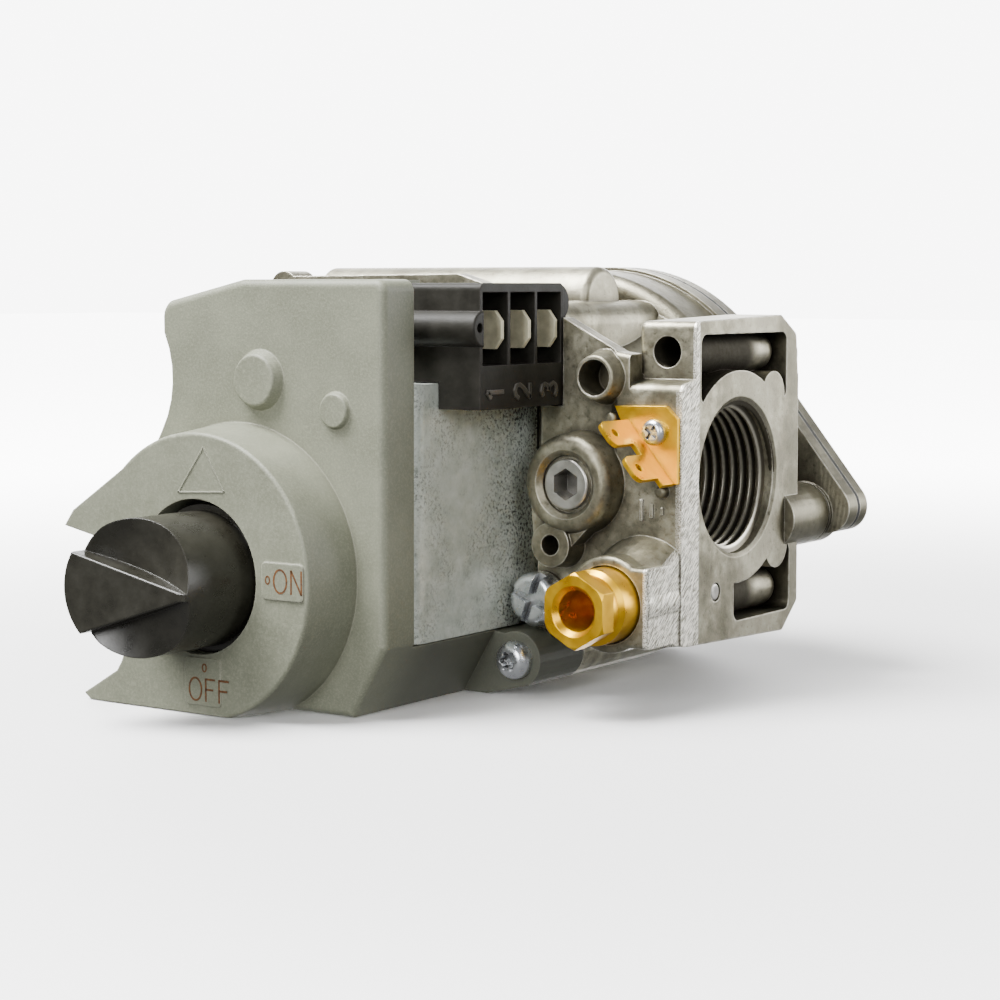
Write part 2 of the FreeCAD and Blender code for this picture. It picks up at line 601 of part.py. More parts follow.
def main_spring():
    seat = (HOUSING_X, HOUSING_Z)
    return helix_spring(seat, (RIM_Y[1] + 0.85, RIM_Y[1] + 9.95), 6.6, 0.45, 4)


def inlet_screen():
    """Fine strainer ring in the inlet passage."""
    x = (-FACE_TO_FACE + THREAD_LENGTH + 0.05, -FACE_TO_FACE + THREAD_LENGTH + 1.2)
    ring = rod_x((0, 0), PASSAGE_R - 0.03, x)
    holes = []
    for row in range(-3, 4):
        for col in range(-3, 4):
            y, z = row * 2.6 + (col % 2) * 1.3, col * 2.4
            if math.hypot(y, z) < PASSAGE_R - 2.4:
                holes.append(rod_x((y, z), 0.85, (x[0] - 1.0, x[1] + 1.0)))
    return cut(ring, *holes)


# ---- operator --------------------------------------------------------------------------------
def plate_blank(y):
    outline = [(-76.4, -29.4), (-51.5, -29.4), (-36.0, -25.0), (-33.5, -23.0), (-33.5, 15.5), (-51.0, 16.0),
               (-57.6, 13.0), (-60.0, 4.6), (-76.4, 4.6)]
    holes = [rod_y((KNOB_X, KNOB_Z), 6.1, (y[0] - 1.0, y[1] + 1.0))]
    holes += [rod_y((COIL_X, z), 5.05, (y[0] - 1.0, y[1] + 1.0)) for z in (MAIN_COIL_Z, PILOT_COIL_Z)]
    holes += [rod_y(p, 1.7, (y[0] - 1.0, y[1] + 1.0)) for p in plate_screw_places()]
    return cut(prism_y(outline, y), *holes)


def operator_gasket():
    return plate_blank((OPERATOR_Y - GASKET_T, OPERATOR_Y))


def operator_plate():
    """Steel plate that seals the operator cavities and carries the core tubes and the shaft gland."""
    plate = plate_blank((PLATE_Y, PLATE_Y + PLATE_T))
    return plate


def plate_screws():
    screws = []
    for place in plate_screw_places():
        screw = pan_screw_y(place, PLATE_Y, 1.4, -6.0, 2.8, 2.0)
        screws.append(cut(screw, lobed_recess_y(place, 1.4, (PLATE_Y - 2.4, PLATE_Y - 1.0))))
    return Part.makeCompound(screws)


def coil_frame():
    """Galvanised steel frame around both coils: one sheet bent round three sides, with a shelf on top."""
    x_in = -51.0
    outer = box((x_in, FRAME_X), FRAME_Y, FRAME_Z)
    outer = fillet(outer, 3.4, lambda e: runs_along(e, "z") and at_x(e, FRAME_X) and at_y(e, FRAME_Y[0]))
    inner = box((x_in - 1.0, FRAME_X - SHEET_T), (FRAME_Y[0] + SHEET_T, FRAME_Y[1] - SHEET_T),
                (FRAME_Z[0] - 1.0, FRAME_Z[1] + 1.0))
    inner = fillet(inner, 1.8, lambda e: runs_along(e, "z") and e.BoundBox.XMin > -40.0 and e.BoundBox.YMax < -40.0)
    frame = cut(outer, inner)
    shelf = box((x_in, FRAME_X - 0.6), (FRAME_Y[0] + 4.0, FRAME_Y[1] - 1.0), (FRAME_Z[1] - SHEET_T, FRAME_Z[1]))
    holes = []
    for z in (MAIN_COIL_Z, PILOT_COIL_Z):
        holes.append(rod_y((COIL_X, z), 3.05, (FRAME_Y[0] - 1.0, FRAME_Y[0] + 2.0)))
        holes.append(rod_y((COIL_X, z), 5.05, (FRAME_Y[1] - 2.0, FRAME_Y[1] + 1.0)))
    corner = prism_x([(-20.5, -27.0), (-13.0, -27.0), (-13.0, -21.0)], (-60.0, -32.0))
    return cut(fuse(frame, shelf), corner, *holes)


def bobbin(z):
    """Moulded coil bobbin on a core tube."""
    low, high = FRAME_Y[0] + SHEET_T + 0.3, FRAME_Y[1] - SHEET_T - 0.3
    centre = (COIL_X, z)
    spool = fuse(rod_y(centre, 6.1, (low, high)), rod_y(centre, 8.65, (low, low + 1.6)),
                 rod_y(centre, 8.65, (high - 1.6, high)))
    return cut(spool, rod_y(centre, 5.05, (low - 1.0, high + 1.0)))


def winding(z):
    low, high = FRAME_Y[0] + SHEET_T + 1.92, FRAME_Y[1] - SHEET_T - 1.92
    return tube_y((COIL_X, z), 8.5, 6.12, (low, high))


def core_tube(z):
    """Thin brass tube, flanged under the operator plate's edge."""
    centre = (COIL_X, z)
    tube = tube_y(centre, 5.0, 4.6, (FRAME_Y[0] + SHEET_T + 0.1, OPERATOR_Y - 0.05))
    return tube


def fixed_core(z):
    """Steel stop at the front end of a core tube, with a neck through the frame."""
    centre = (COIL_X, z)
    start = FRAME_Y[0] + SHEET_T + 0.1
    core = fuse(rod_y(centre, 4.57, (start, start + 9.0)), rod_y(centre, 3.0, (FRAME_Y[0] - 1.6, start)))
    return core


def core_clip(z):
    """Spring clip on the core's neck."""
    centre = (COIL_X, z)
    ring = tube_y(centre, 5.4, 3.02, (FRAME_Y[0] - 0.75, FRAME_Y[0] - 0.05))
    gap = box((COIL_X - 8.0, COIL_X - 1.0), (FRAME_Y[0] - 2.0, FRAME_Y[0] + 0.0), (z - 1.2, z + 1.2))
    return cut(ring, gap)


def plunger(z, seat_y):
    """Steel plunger with a spring pocket at the front end and a rubber pocket at the back."""
    centre = (COIL_X, z)
    front = FRAME_Y[0] + SHEET_T + 9.1 + PLUNGER_TRAVEL + 0.25
    body = rod_y(centre, 4.52, (front, seat_y - 0.9))
    body = fillet(body, 0.4, lambda e: at_y(e, front))
    return cut(body, rod_y(centre, 2.6, (front - 1.0, front + 6.0)), rod_y(centre, 3.0, (seat_y - 2.4, seat_y)))


def plunger_pad(z, seat_y):
    """Rubber pad in the end of a plunger."""
    return rod_y((COIL_X, z), 2.98, (seat_y - 2.38, seat_y - 0.02))


def plunger_spring(z):
    front = FRAME_Y[0] + SHEET_T + 9.1 + PLUNGER_TRAVEL + 0.25
    start = FRAME_Y[0] + SHEET_T + 9.15
    return helix_spring((COIL_X, z), (start, front + 5.95), 2.0, 0.28, 5)


def terminal_block():
    """Black moulded block with three open cells for push-on terminals."""
    x_back = -50.0
    body = box((x_back, BLOCK_FACE_X), TERMINAL_Y, TERMINAL_Z)
    body = fillet(body, 1.2, lambda e: runs_along(e, "x") and e.BoundBox.ZMin > 30.0)
    under = box((x_back - 1.0, FRAME_X + 0.15), (TERMINAL_Y[0] - 1.0, TERMINAL_Y[1] + 1.0),
                (TERMINAL_Z[0] - 1.0, FRAME_Z[1] + 0.15))
    rib = rod_x((RIB_Y, 25.8), 3.0, (-40.0, BLOCK_FACE_X + 0.25))
    rib = fillet(rib, 0.4, lambda e: at_x(e, BLOCK_FACE_X + 0.25))
    bulges = [rod_x((TERMINAL_Y[1] - 0.9, 30.0), 3.1, (x_back + 4.0, BLOCK_FACE_X - 0.3)),
              rod_x((TERMINAL_Y[1] - 1.2, 23.4), 3.3, (x_back + 4.0, BLOCK_FACE_X - 0.3))]
    block = cut(fuse(body, rib, *bulges), under)
    pin_hole = rod_x((RIB_Y - 1.2, 26.0), 0.8, (BLOCK_FACE_X - 4.0, BLOCK_FACE_X + 1.0))
    cells = []
    for i in range(3):
        y = CELL_Y0 + i * CELL_PITCH
        cells.append(box((BLOCK_FACE_X - 9.5, BLOCK_FACE_X + 1.0), (y, y + CELL_W), CELL_Z))
    return cut(block, pin_hole, *cells)


def terminal_tab(index):
    """Tinned quarter-inch push-on tab, standing in its cell."""
    y = CELL_Y0 + index * CELL_PITCH + 5.6
    z_mid = (CELL_Z[0] + CELL_Z[1]) / 2.0 - 0.2
    tip, root = BLOCK_FACE_X - 0.2, BLOCK_FACE_X - 9.48
    half = TAB_W / 2.0
    points = [(root, z_mid - half), (tip - 1.3, z_mid - half), (tip, z_mid - half + 1.7), (tip, z_mid + half - 1.7),
              (tip - 1.3, z_mid + half), (root, z_mid + half)]
    tab = prism_y(points, (y, y + TAB_T))
    return cut(tab, rod_y((root + 4.0, z_mid), 0.85, (y - 1.0, y + 2.0)))


# ---- cover -----------------------------------------------------------------------------------
def arc_points(centre, radius, start, end, count):
    angles = [math.radians(start + (end - start) * i / (count - 1)) for i in range(count)]
    return [(centre[0] + radius * math.cos(a), centre[1] + radius * math.sin(a)) for a in angles]


def cover_outline(inset):
    """The cover seen from the front, as (X, Z) points, moved inwards by inset."""
    right = COVER_SIDE_X - inset
    left = -79.6 + inset
    top = COVER_TOP_Z - inset
    bottom = FLOOR_Z + inset
    hollow = arc_points((-95.2 + inset, 17.3), 17.4, 26.0, -32.0, 7)
    return ([(right, top), (-62.5, top), (left + 0.6, top - 3.6), (left, top - 4.4 - inset * 0.2)] + hollow +
            [(-84.0 + inset, 2.0), (-84.0 + inset, -4.0), (-80.0 + inset, -9.0), (-80.0 + inset, -31.0),
             (-80.0 + inset, bottom), (-39.7 - inset * 0.6, bottom), (right - 0.2, -25.6 - inset * 0.2)])


def wing_outlines():
    """Both pointed wings of the knob boss, upper and lower."""
    upper = [(-70.0, 7.6), (-73.4, 6.1), (-90.8, -5.2), (-92.8, -7.9), (-85.7, -9.35), (-74.0, -11.0), (-66.0, -6.0)]
    lower = [(-66.0, -24.0), (-77.5, -27.0), (-80.1, -30.4), (-81.1, -31.9), (-88.7, -36.4), (-87.4, FLOOR_Z),
             (-60.0, FLOOR_Z)]
    return upper, lower


def skirt_outline(inset):
    """Section of the skirt and of the casting's foot behind it: flat below, round about the screw."""
    round_end = arc_points(EAR_SCREW, 4.9 - inset, -62.0, 118.0, 13)
    return ([(-78.8 + inset, FLOOR_Z + inset), (-35.0, FLOOR_Z + inset)] + round_end +
            [(-33.4, -26.4 - inset), (-78.8 + inset, -26.4 - inset)])


def skirt_front_outline(inset):
    """Section of the skirt between the front wall and the ear."""
    return [(-80.0 + inset, FLOOR_Z + inset), (-39.7 - inset * 0.6, FLOOR_Z + inset), (-33.2 - inset, -26.4),
            (-33.2 - inset, -26.2), (-80.0 + inset, -26.2)]


def raised_discs():
    """Two raised discs on the cover's front."""
    large = cone_y((-58.3, 17.3), (COVER_FRONT_Y - 1.9, COVER_FRONT_Y + 0.5), (4.2, 5.3))
    large = fillet(large, 0.5, lambda e: at_y(e, COVER_FRONT_Y - 1.9))
    small = cone_y((-42.4, 12.7), (COVER_FRONT_Y - 0.9, COVER_FRONT_Y + 0.5), (2.7, 3.3))
    small = fillet(small, 0.35, lambda e: at_y(e, COVER_FRONT_Y - 0.9))
    return [large, small]


def word_plaques():
    """Raised plaques beside the knob for its two positions."""
    plaques = []
    for x, z in (((-48.8, -40.2), (-17.2, -11.2)), ((-65.6, -57.7), (-35.9, -28.0))):
        plaque = box(x, (BOSS_FRONT_Y - 0.25, BOSS_FRONT_Y + 1.0), z)
        plaques.append(fillet(plaque, 0.8, lambda e: runs_along(e, "y")))
    return plaques


def operator_cover():
    """Moulded cover: front wall, side and top walls, the knob boss, and a skirt below the coil frame."""
    axis = (KNOB_X, BOSS_Z)
    shell = prism_y(cover_outline(0.0), (COVER_FRONT_Y, SHELL_BACK_Y))
    shell = fillet(shell, 2.0, lambda e: runs_along(e, "y") and e.BoundBox.ZMin > 30.0)
    shell = fillet(shell, 1.3, lambda e: at_y(e, COVER_FRONT_Y) and e.BoundBox.XMax > -70.0)
    beside_frame = box((SHELL_SPLIT_X, 20.0), (COVER_EDGE_Y, 0.0), (-60.0, 60.0))
    shell = shell.cut(beside_frame)
    boss = cone_y(axis, (BOSS_FRONT_Y, COVER_FRONT_Y + 0.5), (BOSS_FRONT_R, BOSS_BASE_R))
    boss = fillet(boss, 0.6, lambda e: at_y(e, BOSS_FRONT_Y))
    wings = [prism_y(outline, (BOSS_FRONT_Y, COVER_FRONT_Y + 2.0)) for outline in wing_outlines()]
    skirt_front = prism_y(skirt_front_outline(0.0), (COVER_EDGE_Y - 1.0, EAR_FACE_Y))
    skirt = prism_y(skirt_outline(0.0), (EAR_FACE_Y, SKIRT_BACK_Y))
    solid = fuse(shell, boss, skirt_front, skirt, *wings, *raised_discs(), *word_plaques())
    below = box((-130.0, 20.0), (-100.0, 40.0), (FLOOR_Z - 20.0, FLOOR_Z))
    beside_block = box((-29.2, 0.0), (SHOULDER_Y - 0.3, 0.0), (BLOCK_BOTTOM - 0.4, 0.0))
    return cut(solid, below, beside_block, *cover_hollows())


def cover_hollows():
    """Everything that is taken out of the solid cover."""
    axis = (KNOB_X, BOSS_Z)
    hollows = [prism_y(cover_outline(COVER_WALL), (COVER_FRONT_Y + COVER_WALL, SHELL_BACK_Y + 1.0))]
    ring = cone_y(axis, (BOSS_FRONT_Y + COVER_WALL, COVER_FRONT_Y + 3.0),
                  (BOSS_FRONT_R - COVER_WALL, BOSS_BASE_R - COVER_WALL))
    tube = rod_y(axis, BOSS_HOLE_R + 1.6, (BOSS_FRONT_Y, COVER_FRONT_Y + 0.8))
    keep = box((-130.0, 20.0), (-100.0, 0.0), (FLOOR_Z + COVER_WALL, 60.0))
    hollows.append(ring.cut(tube).common(keep))
    hollows.append(rod_y(axis, BOSS_HOLE_R, (BOSS_FRONT_Y - 1.0, COVER_FRONT_Y + 3.0)))
    hollows.append(prism_y([(-100.0, -7.0), (-85.7, -9.35), (-76.5, -10.8), (-74.9, -14.7), (-76.5, -23.0),
                            (-80.1, -30.4), (-81.1, -31.9), (-100.0, -43.1)],
                           (BOSS_FRONT_Y - 1.0, COVER_FRONT_Y + 2.5)))
    hollows.append(prism_y(skirt_front_outline(COVER_WALL), (COVER_EDGE_Y - 2.0, EAR_FACE_Y)))
    hollows.append(prism_y([(-76.8, FLOOR_Z + COVER_WALL), (-36.2, FLOOR_Z + COVER_WALL), (-34.6, -31.0),
                            (-34.6, -20.0), (-76.8, -20.0)], (EAR_FACE_Y + COVER_WALL, SKIRT_BACK_Y + 1.0)))
    for place in cover_screw_places():
        hollows.append(rod_y(place, 1.75, (EAR_FACE_Y - 1.0, SKIRT_BACK_Y + 1.0)))
    return hollows


def cover_screws():
    """Two long pan head screws through the cover's ears into the casting."""
    screws = []
    for place in cover_screw_places():
        screw = pan_screw_y(place, EAR_FACE_Y - 0.02, 1.4, 9.0, 3.3, 2.6)
        screws.append(cut(screw, lobed_recess_y(place, 1.75, (EAR_FACE_Y - 3.5, EAR_FACE_Y - 1.1))))
    return Part.makeCompound(screws)


# ---- knob and manual valve -------------------------------------------------------------------
def knob():
    """Round knob; its front is dished on both sides of a wedge-shaped grip that narrows towards the ON mark."""
    axis = (KNOB_X, KNOB_Z)
    body = fuse(rod_y(axis, KNOB_R, (KNOB_FRONT_Y, KNOB_BACK_Y)),
                rod_y(axis, KNOB_COLLAR_R, (BOSS_FRONT_Y + 2.2, KNOB_BACK_Y)))
    ends = (KNOB_X - 16.0, KNOB_X + 16.0)
    slope = Part.makePolygon([V(ends[0], KNOB_FRONT_Y - 3.0, -50.0), V(ends[0], KNOB_FRONT_Y, -50.0),
                              V(KNOB_X - KNOB_R, KNOB_FRONT_Y, -50.0), V(KNOB_X + KNOB_R, KNOB_NARROW_Y, -50.0),
                              V(ends[1], KNOB_NARROW_Y, -50.0), V(ends[1], KNOB_FRONT_Y - 3.0, -50.0),
                              V(ends[0], KNOB_FRONT_Y - 3.0, -50.0)])
    body = cut(body, Part.Face(slope).extrude(V(0, 0, 70.0)), *knob_scoops()).removeSplitter()
    body = fillet(body, 0.3, on_knob_rim)
    bore = rod_y(axis, SHAFT_R + 0.02, (KNOB_FRONT_Y + 12.0, KNOB_BACK_Y + 1.0))
    flat = box((KNOB_X + 2.6, KNOB_X + 5.0), (KNOB_FRONT_Y + 11.0, KNOB_BACK_Y + 2.0), (KNOB_Z - 5.0, KNOB_Z + 5.0))
    return cut(body, cut(bore, flat))


def on_knob_rim(edge):
    """True for the outer edges of the knob's front, apart from the dishes' own, and for its grip's long edges."""
    if edge.BoundBox.YMax > KNOB_NARROW_Y + 2.0 or edge.Length < 3.0:
        return False
    if edge.Curve.TypeId == "Part::GeomBSplineCurve":
        return False
    middle = edge.valueAt((edge.FirstParameter + edge.LastParameter) / 2.0)
    outer = math.hypot(middle.x - KNOB_X, middle.z - KNOB_Z) > KNOB_R - 0.02
    return outer or (edge.Curve.TypeId == "Part::GeomLine" and edge.Length > 10.0)


def knob_scoops():
    """The two dishes beside the knob's grip, each with a rim in one plane."""
    scoops = []
    for side, near, far in ((1.0, (-16.0, 7.5), (10.6, 0.0)), (-1.0, (-16.0, -10.0), (10.6, -1.2))):
        edge = [near, far, (16.0, far[1]), (16.0, 16.0 * side), (-16.0, 16.0 * side)]
        area = prism_y([(KNOB_X + px, KNOB_Z + pz) for px, pz in edge], (KNOB_FRONT_Y - 2.0, KNOB_RIM_Y + 6.0))
        lean = V(0.58, 0.0, 0.81 * side)
        deepest = V(KNOB_X + 5.0, KNOB_RIM_Y + DISH_DEPTH - DISH_R, KNOB_Z + 6.1 * side)
        dish = Part.makeCylinder(DISH_R, 60.0, deepest - lean * 30.0, lean)
        above_rim = area.common(box((-100.0, 0.0), (KNOB_FRONT_Y - 2.0, KNOB_RIM_Y), (-50.0, 50.0)))
        scoops.append(area.common(dish).fuse(above_rim))
    return scoops


def knob_shaft():
    """Steel shaft with a flat for the knob and a shoulder behind the gland."""
    axis = (KNOB_X, KNOB_Z)
    shaft = rod_y(axis, SHAFT_R, (KNOB_FRONT_Y + 12.1, -7.0))
    flat = box((KNOB_X + 2.57, KNOB_X + 5.0), (KNOB_FRONT_Y + 11.0, KNOB_BACK_Y), (KNOB_Z - 5.0, KNOB_Z + 5.0))
    collar = rod_y(axis, 5.2, (-11.8, -9.6))
    return cut(fuse(shaft, collar), flat)


def shaft_gland():
    """Threaded brass gland that guides the shaft through the operator plate."""
    axis = (KNOB_X, KNOB_Z)
    gland = fuse(rod_y(axis, 6.05, (-24.0, -12.1)), hexagon_y(axis, 15.0, (-24.0, -19.0)))
    return cut(gland, rod_y(axis, SHAFT_R + 0.05, (-30.0, -5.0)), rod_y(axis, 4.9, (-17.6, -12.0)))


def shaft_seals():
    """Two rubber rings on the shaft inside the gland."""
    rings = []
    for y in (-13.6, -15.9):
        rings.append(Part.makeTorus(4.2, 0.66, V(KNOB_X, y, KNOB_Z), AXES["y"]))
    return Part.makeCompound(rings)


def shaft_clip():
    """Retaining clip on the shaft in front of the gland."""
    axis = (KNOB_X, KNOB_Z)
    ring = tube_y(axis, 5.6, SHAFT_R + 0.01, (-25.1, -24.3))
    gap = box((KNOB_X - 8.0, KNOB_X), (-26.0, -24.0), (KNOB_Z - 1.5, KNOB_Z + 1.5))
    return cut(ring, gap)


def manual_disc():
    """Rotary disc that opens and shuts the gas way: two ports a quarter turn apart."""
    axis = (KNOB_X, KNOB_Z)
    disc = rod_y(axis, 10.2, (-5.6, -2.6))
    hub = rod_y(axis, 5.5, (-9.4, -5.6))
    socket = rod_y(axis, SHAFT_R + 0.01, (-10.0, -6.9))
    ports = [rod_y((KNOB_X + 6.2 * math.cos(a), KNOB_Z + 6.2 * math.sin(a)), 2.6, (-7.0, -1.0))
             for a in (math.radians(60.0), math.radians(120.0))]
    return cut(fuse(disc, hub), socket, *ports)


# ---- taps, pilot outlet and ground terminal --------------------------------------------------
def tap_plug(centre, face_y):
    """Socket head pipe plug, flush with its boss."""
    plug = rod_y(centre, TAP_PLUG_R, (face_y + 0.35, face_y + 8.0))
    plug = fillet(plug, 0.45, lambda e: at_y(e, face_y + 0.35))
    return cut(plug, hexagon_y(centre, 4.76, (face_y - 1.0, face_y + 4.6)))


def drilling_plug():
    """Steel plug pressed into the end of a drilling in the flange face."""
    plug = rod_x(DRILLING, DRILLING_PLUG_R, (-4.8, -0.1))
    return fillet(plug, 0.5, lambda e: e.BoundBox.XMin > -0.2)


def pilot_nut():
    """Brass compression nut with its tube bore."""
    front, face = -40.0, PILOT_FACE_Y
    nut = fuse(hexagon_y(PILOT, 11.1, (front, front + 3.4)), rod_y(PILOT, 5.5, (front + 3.0, face + 5.0)),
               cone_y(PILOT, (front + 4.9, front + 5.7), (5.5, 6.3)), rod_y(PILOT, 6.3, (front + 5.7, face + 0.6)))
    crown = fuse(cone_y(PILOT, (front, front + 5.0), (5.9, 10.9)), rod_y(PILOT, 12.0, (front + 2.0, face + 6.0)))
    nut = nut.common(crown)
    return cut(nut, rod_y(PILOT, TUBE_R, (front - 1.0, face + 6.0)), cone_y(PILOT, (front, front + 1.0), (4.2, TUBE_R)))


def pilot_ferrule():
    """Brass ferrule that the nut squeezes on the pilot tube."""
    ring = cone_y(PILOT, (PILOT_FACE_Y + 5.1, PILOT_FACE_Y + 8.4), (5.2, 4.3))
    return cut(ring, rod_y(PILOT, TUBE_R, (PILOT_FACE_Y, PILOT_FACE_Y + 12.0)))


def pilot_filter():
    """Sintered filter plug behind the ferrule."""
    return rod_y(PILOT, 3.65, (-20.9, -16.6))


def pilot_adjust_screw():
    """Needle that sets the pilot flow."""
    needle = fuse(rod_y(PILOT_ADJUST, 1.52, (-17.5, -15.4)), cone_y(PILOT_ADJUST, (-15.4, -14.0), (1.5, 0.4)))
    head = rod_y(PILOT_ADJUST, 2.3, (-18.7, -17.45))
    slot = slot_y(PILOT_ADJUST, 6.0, 0.7, (-19.0, -18.1), 30.0)
    return cut(fuse(needle, head), slot)


def pilot_adjust_cap():
    """Cross-slotted zinc screw that closes the pilot adjuster."""
    head = rod_y(PILOT_ADJUST, 4.7, (-24.4, -20.65))
    head = fillet(head, 1.5, lambda e: at_y(e, -24.4))
    shank = tube_y(PILOT_ADJUST, 3.15, 2.5, (-20.65, -19.0))
    slots = [slot_y(PILOT_ADJUST, 12.0, 1.5, (-25.0, -22.7), turn) for turn in (20.0, 110.0)]
    return cut(fuse(head, shank), *slots)


def ground_terminal():
    """Brass earth plate, folded square along a slanting line into two push-on tabs."""
    y = (SHOULDER_Y - 0.95, SHOULDER_Y - 0.15)
    top, bottom = V(-8.9, 0, 9.7), V(-0.85, 0, 0.1)
    plate = prism_y([(-12.5, 12.8), (-2.5, 13.0), (-0.35, 10.9), (-0.35, 0.1), (bottom.x, bottom.z),
                     (top.x, top.z), (-10.4, 8.5)], y)
    along = (bottom - top) / (bottom - top).Length
    across = V(along.z, 0, -along.x)
    turn = FreeCAD.Matrix(along.x, 0, across.x, top.x, 0, 1, 0, y[0], along.z, 0, across.z, top.z, 0, 0, 0, 1)
    strip = box((-1.2, 12.4), (-3.6, TAB_T), (0.0, TAB_T))
    for start in (-1.2, 6.0):
        tab = box((start, start + 4.9), (-9.6, -3.0), (0.0, TAB_T))
        tab = fillet(tab, 1.5, lambda e: runs_along(e, "z") and e.BoundBox.YMax < -9.0)
        strip = fuse(strip, cut(tab, Part.makeCylinder(0.8, 4.0, V(start + 2.4, -7.0, -1.0))))
    strip = strip.transformGeometry(turn)
    relief = box((-10.3, -9.0), (y[0] - 0.1, y[1] + 1.0), (7.6, 9.2))
    return cut(fuse(plate, strip), rod_y(EARTH_SCREW, 1.5, (-40.0, 0.0)))


def ground_screw():
    screw = pan_screw_y(EARTH_SCREW, SHOULDER_Y - 0.97, 1.4, SHOULDER_Y - 0.02, 2.2, 1.5)
    slots = [slot_y(EARTH_SCREW, 2.6, 0.6, (SHOULDER_Y - 3.2, SHOULDER_Y - 1.9), turn) for turn in (35.0, 125.0)]
    return cut(screw, *slots)


# ---- pressure regulator ----------------------------------------------------------------------
def regulator_diaphragm():
    return rod_y(REGULATOR, 5.3, (-15.0, -14.2))


def regulator_spring():
    return helix_spring(REGULATOR, (-27.9, -15.1), 3.8, 0.45, 6)


def regulator_screw():
    """Plastic adjusting screw on the regulator spring."""
    screw = rod_y(REGULATOR, 5.3, (-31.0, -28.0))
    return cut(screw, slot_y(REGULATOR, 8.0, 1.2, (-32.0, -29.6), 45.0))


def regulator_cap():
    """Slotted cap that closes the regulator tower."""
    cap = fuse(rod_y(REGULATOR, 7.2, (REGULATOR_TOP_Y - 2.6, REGULATOR_TOP_Y - 0.05)),
               tube_y(REGULATOR, 5.35, 4.2, (REGULATOR_TOP_Y - 0.05, REGULATOR_TOP_Y + 3.6)))
    return cut(cap, slot_y(REGULATOR, 16.0, 1.6, (REGULATOR_TOP_Y - 3.0, REGULATOR_TOP_Y - 1.4), 20.0))


# ---- nodes -----------------------------------------------------------------------------------
def nodes():
    built = {
        "valve_body": valve_body(),
        "diaphragm_cover": diaphragm_cover(),
        "rear_screws": rear_screws(),
        "diaphragm": diaphragm(),
        "diaphragm_plate": diaphragm_plate(),
        "main_poppet": main_poppet(),
        "main_seat_disc": main_seat_disc(),
        "main_spring": main_spring(),
        "inlet_screen": inlet_screen(),
        "operator_gasket": operator_gasket(),
        "operator_plate": operator_plate(),
        "plate_screws": plate_screws(),
        "coil_frame": coil_frame(),
        "terminal_block": terminal_block(),
        "operator_cover": operator_cover(),
        "cover_screws": cover_screws(),
        "knob": knob(),
        "knob_shaft": knob_shaft(),
        "shaft_gland": shaft_gland(),
        "shaft_seals": shaft_seals(),
        "shaft_clip": shaft_clip(),
        "manual_disc": manual_disc(),
        "outlet_tap_plug": tap_plug(TAP, TAP_FACE_Y),
        "inlet_tap_plug": tap_plug(inlet_tap_place(), -22.5),
        "drilling_plug": drilling_plug(),
        "pilot_nut": pilot_nut(),
        "pilot_ferrule": pilot_ferrule(),
        "pilot_filter": pilot_filter(),
        "pilot_adjust_screw": pilot_adjust_screw(),
        "pilot_adjust_cap": pilot_adjust_cap(),
        "ground_terminal": ground_terminal(),
        "ground_screw": ground_screw(),
        "regulator_diaphragm": regulator_diaphragm(),
        "regulator_spring": regulator_spring(),
        "regulator_screw": regulator_screw(),
        "regulator_cap": regulator_cap(),
    }
    for index in range(3):
        built["terminal_tab_%d" % (index + 1)] = terminal_tab(index)
    for name, z, seat_y in (("main", MAIN_COIL_Z, -7.0), ("pilot", PILOT_COIL_Z, -8.0)):
        built[name + "_bobbin"] = bobbin(z)
        built[name + "_winding"] = winding(z)
        built[name + "_core_tube"] = core_tube(z)
        built[name + "_fixed_core"] = fixed_core(z)
        built[name + "_core_clip"] = core_clip(z)
        built[name + "_plunger"] = plunger(z, seat_y)
        built[name + "_plunger_pad"] = plunger_pad(z, seat_y)
        built[name + "_plunger_spring"] = plunger_spring(z)
    return built


os.makedirs("parts", exist_ok=True)
for node, shape in nodes().items():
    shape.exportStep("parts/%s.step" % node)
    print("%-24s solids %2d valid %s volume %9.1f" % (node, len(shape.Solids), shape.isValid(), shape.Volume))
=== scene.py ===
import json
import math

import bmesh
import bpy
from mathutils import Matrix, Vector


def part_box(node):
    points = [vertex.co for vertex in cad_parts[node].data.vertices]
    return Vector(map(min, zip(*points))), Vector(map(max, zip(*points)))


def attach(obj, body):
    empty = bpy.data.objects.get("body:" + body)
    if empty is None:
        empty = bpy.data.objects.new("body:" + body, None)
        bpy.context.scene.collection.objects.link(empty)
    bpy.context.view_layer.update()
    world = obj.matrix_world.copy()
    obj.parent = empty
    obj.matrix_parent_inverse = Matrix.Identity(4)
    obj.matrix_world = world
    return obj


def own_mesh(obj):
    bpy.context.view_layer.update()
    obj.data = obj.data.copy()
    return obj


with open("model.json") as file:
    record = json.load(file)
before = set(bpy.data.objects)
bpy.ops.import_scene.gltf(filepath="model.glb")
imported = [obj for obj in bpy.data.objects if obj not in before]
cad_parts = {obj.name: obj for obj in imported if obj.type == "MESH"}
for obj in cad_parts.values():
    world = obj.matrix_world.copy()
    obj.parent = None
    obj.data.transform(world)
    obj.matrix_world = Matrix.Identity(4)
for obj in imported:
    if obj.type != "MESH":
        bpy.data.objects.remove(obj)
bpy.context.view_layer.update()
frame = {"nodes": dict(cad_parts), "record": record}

MM = 0.001

# ---- camera and light ------------------------------------------------------------------------
CAMERA_AT = (191.92, -351.53, 33.02)
CAMERA_AZIMUTH = 34.54
CAMERA_PITCH = 5.31
CAMERA_LENS = 83.4
FLOOR_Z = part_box("operator_cover")[0].z
BACKDROP_WAY = (-0.565, 0.822, 0.05)       # towards the bright backdrop behind the object
FLOOR_GLOW = 8.0
BACKDROP_GLOW = 8.0
ROOM_GLOW = 0.30

